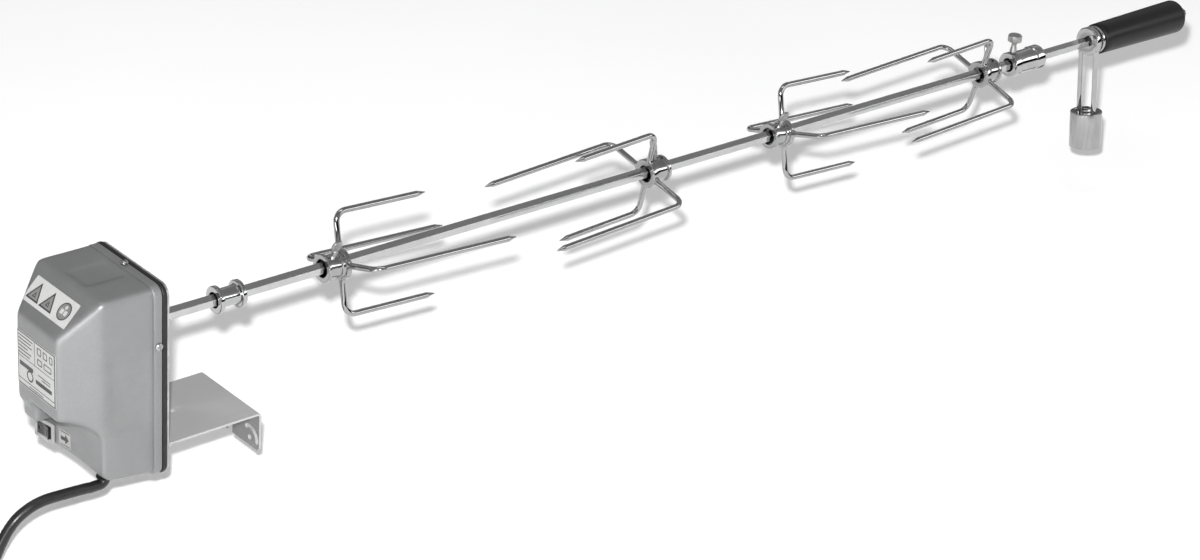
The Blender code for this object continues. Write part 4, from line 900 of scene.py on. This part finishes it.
sheet = prism(bent([(bx0 + T / 2, tab_z), (bx0 + T / 2, top - T / 2), (bx1 - T / 2, top - T / 2), (bx1 - T / 2, flange_z)], 1.6), -half_w, half_w, "Y")
holes = [moved(lathe([(-6, 0), (-6, 2.1), (6, 2.1), (6, 0)], 40, "Z"), (-54.5, 0, top))]
notch = [(-3.0, flange_z - 5), (3.0, flange_z - 5), (3.0, -12.5)] + [(3.0 * math.cos(math.radians(a)), -12.5 + 2.0 * math.sin(math.radians(a))) for a in range(20, 180, 20)] + [(-3.0, -12.5)]
holes.append(prism(notch, -6, 4))
for s in (-1, 1):
    holes.append(moved(lathe([(-6, 0), (-6, 2.3), (6, 2.3), (6, 0)], 40), (0, s * 27.0, -18.0)))
    arc = [(11.4 * math.cos(math.radians(62 + 7.5 * k)), 11.4 * math.sin(math.radians(62 + 7.5 * k))) for k in range(17)]
    cy, cz = 9.5 * math.cos(math.radians(182)), 9.5 * math.sin(math.radians(182))
    arc += [(cy + 1.9 * math.cos(math.radians(182 + 20 * k)), cz + 1.9 * math.sin(math.radians(182 + 20 * k))) for k in range(1, 9)]
    arc += [(7.6 * math.cos(math.radians(182 - 7.5 * k)), 7.6 * math.sin(math.radians(182 - 7.5 * k))) for k in range(17)]
    cy, cz = 9.5 * math.cos(math.radians(62)), 9.5 * math.sin(math.radians(62))
    arc += [(cy + 1.9 * math.cos(math.radians(242 + 20 * k)), cz + 1.9 * math.sin(math.radians(242 + 20 * k))) for k in range(1, 9)]
    holes.append(prism([(-27.0 + y if s < 0 else 27.0 - y, -18.0 + z) for y, z in arc], -6, 4))
    y = s * half_w
    holes.append(prism([(y + s, flange_z - 1), (y + s, flange_z + 4), (y - s * 3.5, flange_z - 1)], -6, 4))
for y in (-25.0, 25.0):
    holes.append(moved(lathe([(-4, 0), (-4, 2.4), (4, 2.4), (4, 0)], 24), (bx0 + T / 2, y, 0.0)))
bracket = piece("bracket_sheet", cut(sheet, *holes), "motor_unit", "bracket", M["bracket"], bevel=0.22, sharp=38, segments=2)
# painted shade: the flange faces below the web that face -X get the darker copy of the steel
bracket.data.materials.append(M["bracket_painted_shade"])
for f in bracket.data.polygons:
    if f.normal.x < -0.9 and f.center.x > -0.01 and f.center.z < (top - T) * MM:
        f.material_index = 1

# ------------------------------------------------------------------ spit
hexa = lambda af, turn=math.pi / 2: circle(af / math.sqrt(3), 6, 0, 0, turn)


def soft_hex(af, r, n=3):
    """Hexagon with slightly rounded corners."""
    pts = hexa(af)
    out = []
    for i in range(6):
        p0, p1, p2 = Vector(pts[i - 1]), Vector(pts[i]), Vector(pts[(i + 1) % 6])
        u, v = (p0 - p1).normalized(), (p2 - p1).normalized()
        back = r / math.tan(math.radians(60))
        centre = p1 + (u + v).normalized() * (r / math.sin(math.radians(60)))
        s = p1 + u * back - centre
        full = (p1 + u * back - centre).angle(p1 + v * back - centre)
        sign = 1 if s.x * (p1 + v * back - centre).y - s.y * (p1 + v * back - centre).x > 0 else -1
        for k in range(n + 1):
            a = sign * full * k / n
            q = centre + Vector((s.x * math.cos(a) - s.y * math.sin(a), s.x * math.sin(a) + s.y * math.cos(a)))
            out.append((q.x, q.y))
    return out


def grow(pts, k):
    return [(y * k, z * k) for y, z in pts]


hx = soft_hex(ROD_AF, 0.55)
xs = [ROD_X0 + 2.5 + (ROD_X1 - ROD_X0 - 3.0) * i / 40 for i in range(41)]
rings = [[(ROD_X0, y, z) for y, z in grow(hx, 0.75)]] + [[(x, y, z) for y, z in hx] for x in xs] + [[(ROD_X1, y, z) for y, z in grow(hx, 0.93)]]
bar = skin(bmesh.new(), rings)
tail = lathe([(ROD_X1 - 2, 0), (ROD_X1 - 2, TAIL_R), (TAIL_X1 - 1, TAIL_R), (TAIL_X1, TAIL_R - 0.8), (TAIL_X1, 0)], 40)
piece("spit_bar", weld(bar, tail), "spit", "spit_rod", M["rod"], at=(0, 0, ROD_Z), sharp=34)

prof = fillet([(-18.5, 6.3), (-18.5, 11.0), (-14.6, 11.0), (-14.0, 7.7), (1.0, 7.7), (1.6, 11.0), (5.5, 11.0), (5.5, 6.3)], {0: 0.5, 1: 0.9, 2: 0.9, 3: 1.2, 4: 1.2, 5: 0.9, 6: 0.9, 7: 0.5}, 5)
piece("wall_bush_spool", lathe(prof, 72), "wall_bush", "near_bush", M["turned"], at=(0, 0, ROD_Z), sharp=50)

FB_X = 883.4
prof = fillet([(878.5, 6.4), (878.5, 12.0), (887.2, 12.0), (888.2, 10.9), (909.2, 10.9), (910.4, 12.0), (919.6, 12.0), (922.5, 9.2), (922.5, 6.4)], {0: 0.6, 1: 1.0, 2: 0.6, 3: 0.5, 4: 0.5, 5: 0.6, 6: 1.6, 7: 1.2, 8: 0.5}, 5)
bush = cut(lathe(prof, 72), moved(lathe([(4, 0), (4, 2.5), (20, 2.5), (20, 0)], 32, "Z"), (FB_X, 0, 0)))
piece("end_bush_barrel", bush, "end_bush", "far_bush", M["turned"], at=(0, 0, ROD_Z), sharp=42)


def threaded(z0, z1, r, pitch=0.8):
    """Stem profile with ridges."""
    out = [(z0, 0), (z0, r - 0.5), (z0 + 0.4, r - 0.1)]
    z = z0 + 0.5
    while z < z1 - pitch:
        out += [(z, r - 0.32), (z + pitch * 0.5, r)]
        z += pitch
    out.append((z1, r))
    return out


knob = threaded(7.0, 13.2, 2.15) + fillet([(13.4, 3.4), (15.0, 3.2), (20.0, 2.3), (22.0, 2.6), (23.4, 6.0), (24.0, 6.6), (29.0, 6.6), (29.9, 5.8), (30.2, 4.4), (29.4, 3.4), (29.4, 0)], {1: 0.8, 2: 2.0, 3: 1.0, 4: 0.4, 5: 0.4, 6: 0.5, 7: 0.3, 8: 0.4}, 3)
bm = lathe(knob, 48, "Z")
flutes = [moved(lathe([(23.2, 0), (23.2, 0.55), (30.4, 0.55), (30.4, 0)], 10, "Z"), (6.85 * math.cos(2 * math.pi * k / 18), 6.85 * math.sin(2 * math.pi * k / 18), 0)) for k in range(18)]
piece("end_bush_thumbscrew", cut(bm, *flutes), "end_bush_knob", "far_bush_screw", M["cast"], at=(FB_X, 0, ROD_Z), sharp=40)


# ------------------------------------------------------------------ forks
def tine(angle, radius, length):
    c, s = math.cos(angle), math.sin(angle)
    line = bend_line([(0, 9.0 * c, 9.0 * s), (0, radius * c, radius * s), (length - 9.0, radius * c, radius * s)], BEND_R, 12)
    # a few rings along the straight part keep the shading even
    p, q = line[-2], line[-1]
    line = line[:-1] + [p.lerp(q, k / 4) for k in range(1, 5)]
    pts = list(line)
    radii = [TINE_R] * len(pts)
    for share in (0.06, 0.15, 0.3, 0.5, 0.7, 0.85, 0.94, 0.985):
        pts.append(Vector((length - 9.0 * (1 - share), radius * c, radius * s)))
        radii.append(TINE_R * (1 - max(share - 0.06, 0.0) * 0.94) * (1 - 0.4 * max(share - 0.94, 0) / 0.06))
    pts.append(Vector((length, radius * c, radius * s)))
    radii.append(0.0)
    return sweep(pts, radii, 20, tip=True)


def bead(angle):
    """Weld fillet where a tine leaves the flange."""
    prof = [(11.0, 0), (11.0, 3.4), (12.2, 4.1), (13.0, 4.05), (13.8, 3.5), (14.6, 2.95), (15.4, 2.6), (15.6, 0)]
    bm = lathe(prof, 24)
    c, s = math.cos(angle), math.sin(angle)
    m = Matrix(((0, 0, 1), (c, -s, 0), (s, c, 0)))
    bmesh.ops.rotate(bm, cent=(0, 0, 0), matrix=m, verts=bm.verts)
    # squeeze along the spit so that the bead stays on the flange
    bmesh.ops.scale(bm, vec=(0.62, 1, 1), verts=bm.verts)
    return bm


def spade():
    stem = threaded(6.8, 13.4, 2.1) + [(14.0, 2.6), (16.4, 2.6), (17.4, 2.2), (18.2, 1.2), (18.4, 0)]
    bm = lathe(stem, 32, "Z")
    half_out = [(2.1, 14.6), (2.6, 15.8), (3.6, 17.2), (4.6, 18.9), (5.0, 20.8), (4.95, 22.8), (4.5, 24.6), (3.7, 25.9), (2.6, 26.6), (1.2, 26.8)]
    outline = half_out + [(-x, z) for x, z in reversed(half_out)]
    rows = []
    for y, k in ((-1.15, 0.86), (-0.95, 0.96), (-0.45, 1.0), (0.45, 1.0), (0.95, 0.96), (1.15, 0.86)):
        rows.append([(x * k, y, 20.7 + (z - 20.7) * k) for x, z in outline])
    head = skin(bmesh.new(), rows)
    dish = [lathe([(0.9, 0), (0.9, 2.1), (1.0, 2.6), (3.0, 3.0), (3.0, 0)], 28) for _ in range(2)]
    out = []
    for k, d in zip((1, -1), dish):
        bmesh.ops.rotate(d, cent=(0, 0, 0), matrix=Matrix.Rotation(math.pi / 2 * k, 3, "Z"), verts=d.verts)
        bmesh.ops.translate(d, vec=(0, 0, 21.6), verts=d.verts)
        out.append(d)
    return cut(weld(bm, head), *out)


for n, x, side, dropz, roll, droop, lean, twist in FORKS:
    i = n[-1]
    a = Vector((side * math.cos(math.radians(droop)), 0, -math.sin(math.radians(droop))))
    up = Vector((side * math.sin(math.radians(droop)), 0, math.cos(math.radians(droop))))
    near = Vector((0, -1, 0))
    ro = math.radians(roll)
    long_dir = near * math.cos(ro) + up * math.sin(ro)
    third = a.cross(long_dir)
    turn = Matrix((a, long_dir, third)).transposed()
    centre = Vector((x, 0, ROD_Z + dropz))
    le = math.radians(lean)
    screw_dir = up * math.cos(le) - near * math.sin(le)
    local = turn.transposed() @ screw_dir
    sa = math.atan2(local.z, local.y)
    hub_profile = fillet([(-HUB_L + 2.5, HUB_BORE_R), (-HUB_L + 2.5, END_R), (-HUB_L + 5.4, END_R), (-HUB_L + 5.4, HUB_R), (-5.4, HUB_R), (-5.4, HUB_R + 1.4), (-2.4, HUB_R + 1.4),
                          (-2.4, FLANGE_R), (2.5, FLANGE_R), (2.5, HUB_BORE_R)], {0: 0.7, 1: 0.9, 2: 0.5, 3: 0.5, 4: 0.4, 5: 0.5, 6: 0.3, 7: 0.6, 8: 0.9, 9: 0.8}, 4)
    hub = lathe(hub_profile, 64)
    parts = [tine(0.0, LONG_R, LONG_L), tine(math.pi, LONG_R, LONG_L), tine(math.pi / 2, SHORT_R, SHORT_L), tine(-math.pi / 2, SHORT_R, SHORT_L)]
    parts += [bead(k * math.pi / 2) for k in range(4)]
    hub = weld(hub, *parts)
    hole = lathe([(3, 0), (3, 2.45), (20, 2.45), (20, 0)], 28)
    m = Matrix((Vector((0, math.cos(sa), math.sin(sa))), Vector((1, 0, 0)), Vector((0, math.sin(sa), -math.cos(sa))))).transposed()
    hub = cut(hub, moved(moved(hole, (0, 0, 0), m), (-SCREW_BACK, 0, 0)))
    piece("fork_%s_prongs" % i, hub, "meat_fork_" + i, n, M["wire"], at=centre, turn=turn, sharp=38)
    at = centre - a * SCREW_BACK
    tw = Matrix.Rotation(math.radians(twist), 3, screw_dir)
    x_axis = (tw @ a).normalized()
    y_axis = screw_dir.cross(x_axis)
    piece("fork_%s_thumbscrew" % i, spade(), "fork_knob_" + i, n + "_screw", M["cast"], at=at, turn=Matrix((x_axis, y_axis, screw_dir)).transposed(), sharp=36)

# ------------------------------------------------------------------ counterweight
yoke_low, yoke_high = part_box("counterweight_yoke")
YX0, YX1 = yoke_low.x / MM, yoke_high.x / MM
axis_dir = Vector(JOINTS["balance_weight_slide"]["axis"])
tilt = Matrix.Rotation(-math.atan2(axis_dir.y, axis_dir.z), 3, "X")
pivot = Vector(((YX0 + YX1) / 2, 0, ROD_Z))
YOKE_R, LEG_R, LEG_HALF, WR, WTOP, WEND = 14.0, 2.6, 9.0, 15.7, 71.0, 107.0
w = (YX1 - YX0) / 2
collar = lathe(fillet([(-w, TAIL_R + 0.5), (-w, YOKE_R), (w, YOKE_R), (w, TAIL_R + 0.5)], {0: 0.4, 1: 1.3, 2: 1.3, 3: 0.4}, 5), 72)
legs = []
for s in (-1, 1):
    legs.append(moved(lathe(fillet([(-WEND + 4.0, 0), (-WEND + 4.0, LEG_R), (-1.0, LEG_R), (-1.0, 0)], {1: 0.5}, 3), 32, "Z"), (0, s * LEG_HALF, 0)))
    legs.append(moved(lathe([(-14.6, 0), (-14.6, LEG_R), (-13.0, LEG_R + 0.35), (-9.0, LEG_R + 0.45), (-9.0, 0)], 32, "Z"), (0, s * LEG_HALF, 0)))
piece("balance_yoke_frame", weld(collar, *legs), "balance_yoke", "counterweight_yoke", M["turned"], at=pivot, turn=tilt, sharp=40)
prof = fillet([(-WEND, 0), (-WEND, WR), (-WTOP, WR), (-WTOP, WR - 2.2), (-WTOP - 0.7, WR - 2.6), (-WTOP - 0.7, 0)], {1: 0.8, 2: 1.0, 3: 0.3}, 5)
cyl = lathe(prof, 96, "Z")
cyl = cut(cyl, *[moved(lathe([(-130, 0), (-130, LEG_R + 0.35), (-60, LEG_R + 0.35), (-60, 0)], 36, "Z"), (0, s * LEG_HALF, 0)) for s in (-1, 1)],
          lathe([(-WTOP - 15, 0), (-WTOP - 15, 2.8), (-60, 2.8), (-60, 0)], 28, "Z"))
piece("balance_cylinder", cyl, "balance_weight", "counterweight", M["satin"], at=pivot, turn=tilt, sharp=40)
head = lathe([(-WTOP - 14, 0), (-WTOP - 14, 2.35), (-WTOP - 0.6, 2.35), (-WTOP - 0.6, 4.3), (-WTOP + 0.2, 4.5), (-WTOP + 0.2, 0)], 36, "Z")
hexhead = prism(circle(4.3, 6), -WTOP, -WTOP + 3.6, "Z")
piece("balance_bolt", weld(head, hexhead), "balance_weight", "weight_bolt", M["turned"], at=pivot, turn=tilt, bevel=0.3, sharp=40)

# ------------------------------------------------------------------ handle
GX0, GX1 = JOINTS["handle_turn"]["pos_m"][0] / MM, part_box("handle_grip")[1].x / MM
b = TAIL_R + 0.5
F0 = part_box("handle_ferrule")[0].x / MM - GX0
prof = fillet([(F0, b), (F0, 10.4), (-4.2, 10.4), (-3.9, 13.6), (-0.5, 13.6), (-0.5, b)], {1: 0.4, 2: 0.5, 3: 1.1, 4: 0.9}, 5)
piece("handle_collar", lathe(prof, 72), "handle", "handle_ferrule", M["turned"], at=(GX0, 0, ROD_Z), sharp=40)
L = GX1 - GX0
prof = [(0, b), (0, 14.1), (0.2, 14.6), (0.8, 15.0)]
prof += [(0.8 + (L - 4.8) * k / 16, 15.0 + 1.6 * (k / 16)) for k in range(1, 17)]
prof += [(L - 4.0 + 4.0 * math.sin(math.radians(a)), 12.6 + 4.0 * math.cos(math.radians(a))) for a in range(10, 91, 10)]
prof += [(L, 8.0), (L, b)]
piece("handle_body", lathe(prof, 96), "handle", "handle_grip", M["grip"], at=(GX0, 0, ROD_Z), sharp=50)
prof = fillet([(L + 0.35, b), (L + 0.35, 8.8), (L + 2.0, 8.8), (L + 2.2, 6.9), (L + 10.0, 6.9), (L + 12.8, 5.7), (L + 14.5, 3.4), (L + 15.0, 0), (L + 13.6, 0), (L + 13.6, b)], {1: 0.5, 2: 0.5, 3: 0.4, 4: 2.0, 5: 1.8, 6: 1.5}, 4)
piece("handle_cap_nut", lathe(prof, 60), "handle", "handle_nut", M["turned"], at=(GX0, 0, ROD_Z), sharp=50)

# ------------------------------------------------------------------ floor, light, camera
FLOOR_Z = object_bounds()[0].z - 0.004
mesh = bpy.data.meshes.new("studio_floor")
size = 14.0
mesh.from_pydata([(-size, -size, FLOOR_Z), (size, -size, FLOOR_Z), (size, size, FLOOR_Z), (-size, size, FLOOR_Z)], [], [(0, 1, 2, 3)])
floor = bpy.data.objects.new("studio_floor", mesh)
SCENE.objects.link(floor)
f = Look("floor_paper", (0.96, 0.96, 0.96), 0.95, spec=0.1)
f.colour(f.mix(f.span(f.noise(3, 2), 0.0, 1.0), (0.955, 0.955, 0.955), (0.97, 0.97, 0.97)))
floor.data.materials.append(f.m)

world = bpy.data.worlds.new("studio")
bpy.context.scene.world = world
world.use_nodes = True
wt = world.node_tree
bg = wt.nodes["Background"]
tc = wt.nodes.new("ShaderNodeTexCoord")
sep = wt.nodes.new("ShaderNodeSeparateXYZ")
rp = wt.nodes.new("ShaderNodeValToRGB")
wt.links.new(tc.outputs["Generated"], sep.inputs[0])
wt.links.new(sep.outputs["Z"], rp.inputs["Fac"])
wt.links.new(rp.outputs["Color"], bg.inputs["Color"])
stops = [(0.0, 0.008), (0.2, 0.008), (0.27, 0.46), (0.45, 0.56), (0.66, 0.31), (1.0, 0.28)]
el = rp.color_ramp.elements
for i, (pos, v) in enumerate(stops):
    e = el[i] if i < 2 else el.new(pos)
    e.position, e.color = pos, (v, v, v, 1)
bg.inputs["Strength"].default_value = 1.0

AZ, EL, ROLL, F_PX = math.radians(-42.565), math.radians(26.634), math.radians(4.493), 2824.4
right = Vector((math.cos(AZ), math.sin(AZ), 0))
back = Vector((math.sin(AZ) * math.cos(EL), -math.cos(AZ) * math.cos(EL), math.sin(EL)))
upv = back.cross(right)
R = right * math.cos(ROLL) + upv * math.sin(ROLL)
U = -right * math.sin(ROLL) + upv * math.cos(ROLL)
cam_data = bpy.data.cameras.new("camera")
cam = bpy.data.objects.new("camera", cam_data)
SCENE.objects.link(cam)
cm = Matrix((R, U, back)).transposed().to_4x4()
cm.translation = Vector((-1086.6, -1592.7, 1087.4)) * MM
cam.matrix_world = cm
cam_data.sensor_width = 36.0
cam_data.lens = 36.0 * F_PX / 1200.0
cam_data.clip_start, cam_data.clip_end = 0.05, 60.0
bpy.context.scene.camera = cam


def light(name, kind, at, to, energy, size=1.0, size_y=None, angle=None):
    d = bpy.data.lights.new(name, kind)
    d.energy = energy
    if kind == "AREA":
        d.shape = "RECTANGLE"
        d.size, d.size_y = size, size_y or size
    if angle is not None:
        d.angle = angle
    o = bpy.data.objects.new(name, d)
    SCENE.objects.link(o)
    o.location = at
    o.rotation_euler = (Vector(to) - Vector(at)).to_track_quat("-Z", "Y").to_euler()
    return o


centre = Vector((0.42, 0, 0.06))
key = light("key_lamp", "POINT", cam.location + U * 0.12 - R * 0.035, centre, 49.0)
key.data.shadow_soft_size = 0.03
key.data.use_nodes = True
kt = key.data.node_tree
fall = kt.nodes.new("ShaderNodeLightFalloff")
fall.inputs["Strength"].default_value = 1.0
kt.links.new(fall.outputs["Constant"], kt.nodes["Emission"].inputs["Strength"])
light("soft_top", "AREA", (0.2, -0.1, 2.4), centre, 8, 2.4, 0.5)
strip = centre + Vector((0.605, -0.717, 0.36)).normalized() * 2.4
light("soft_right", "AREA", strip, centre, 11, 1.9, 0.5)
light("soft_left", "AREA", (-1.9, -1.0, 1.5), centre, 2, 0.5, 1.2)
low = light("low_strip", "AREA", (-0.97, -0.495, 0.12), (-0.2, -0.045, 0.05), 2.7, 0.16, 0.3)
low.visible_camera = False

view = bpy.context.scene.view_settings
view.view_transform = "Standard"
view.look = "None"
view.exposure = 0.0
view.gamma = 1.0
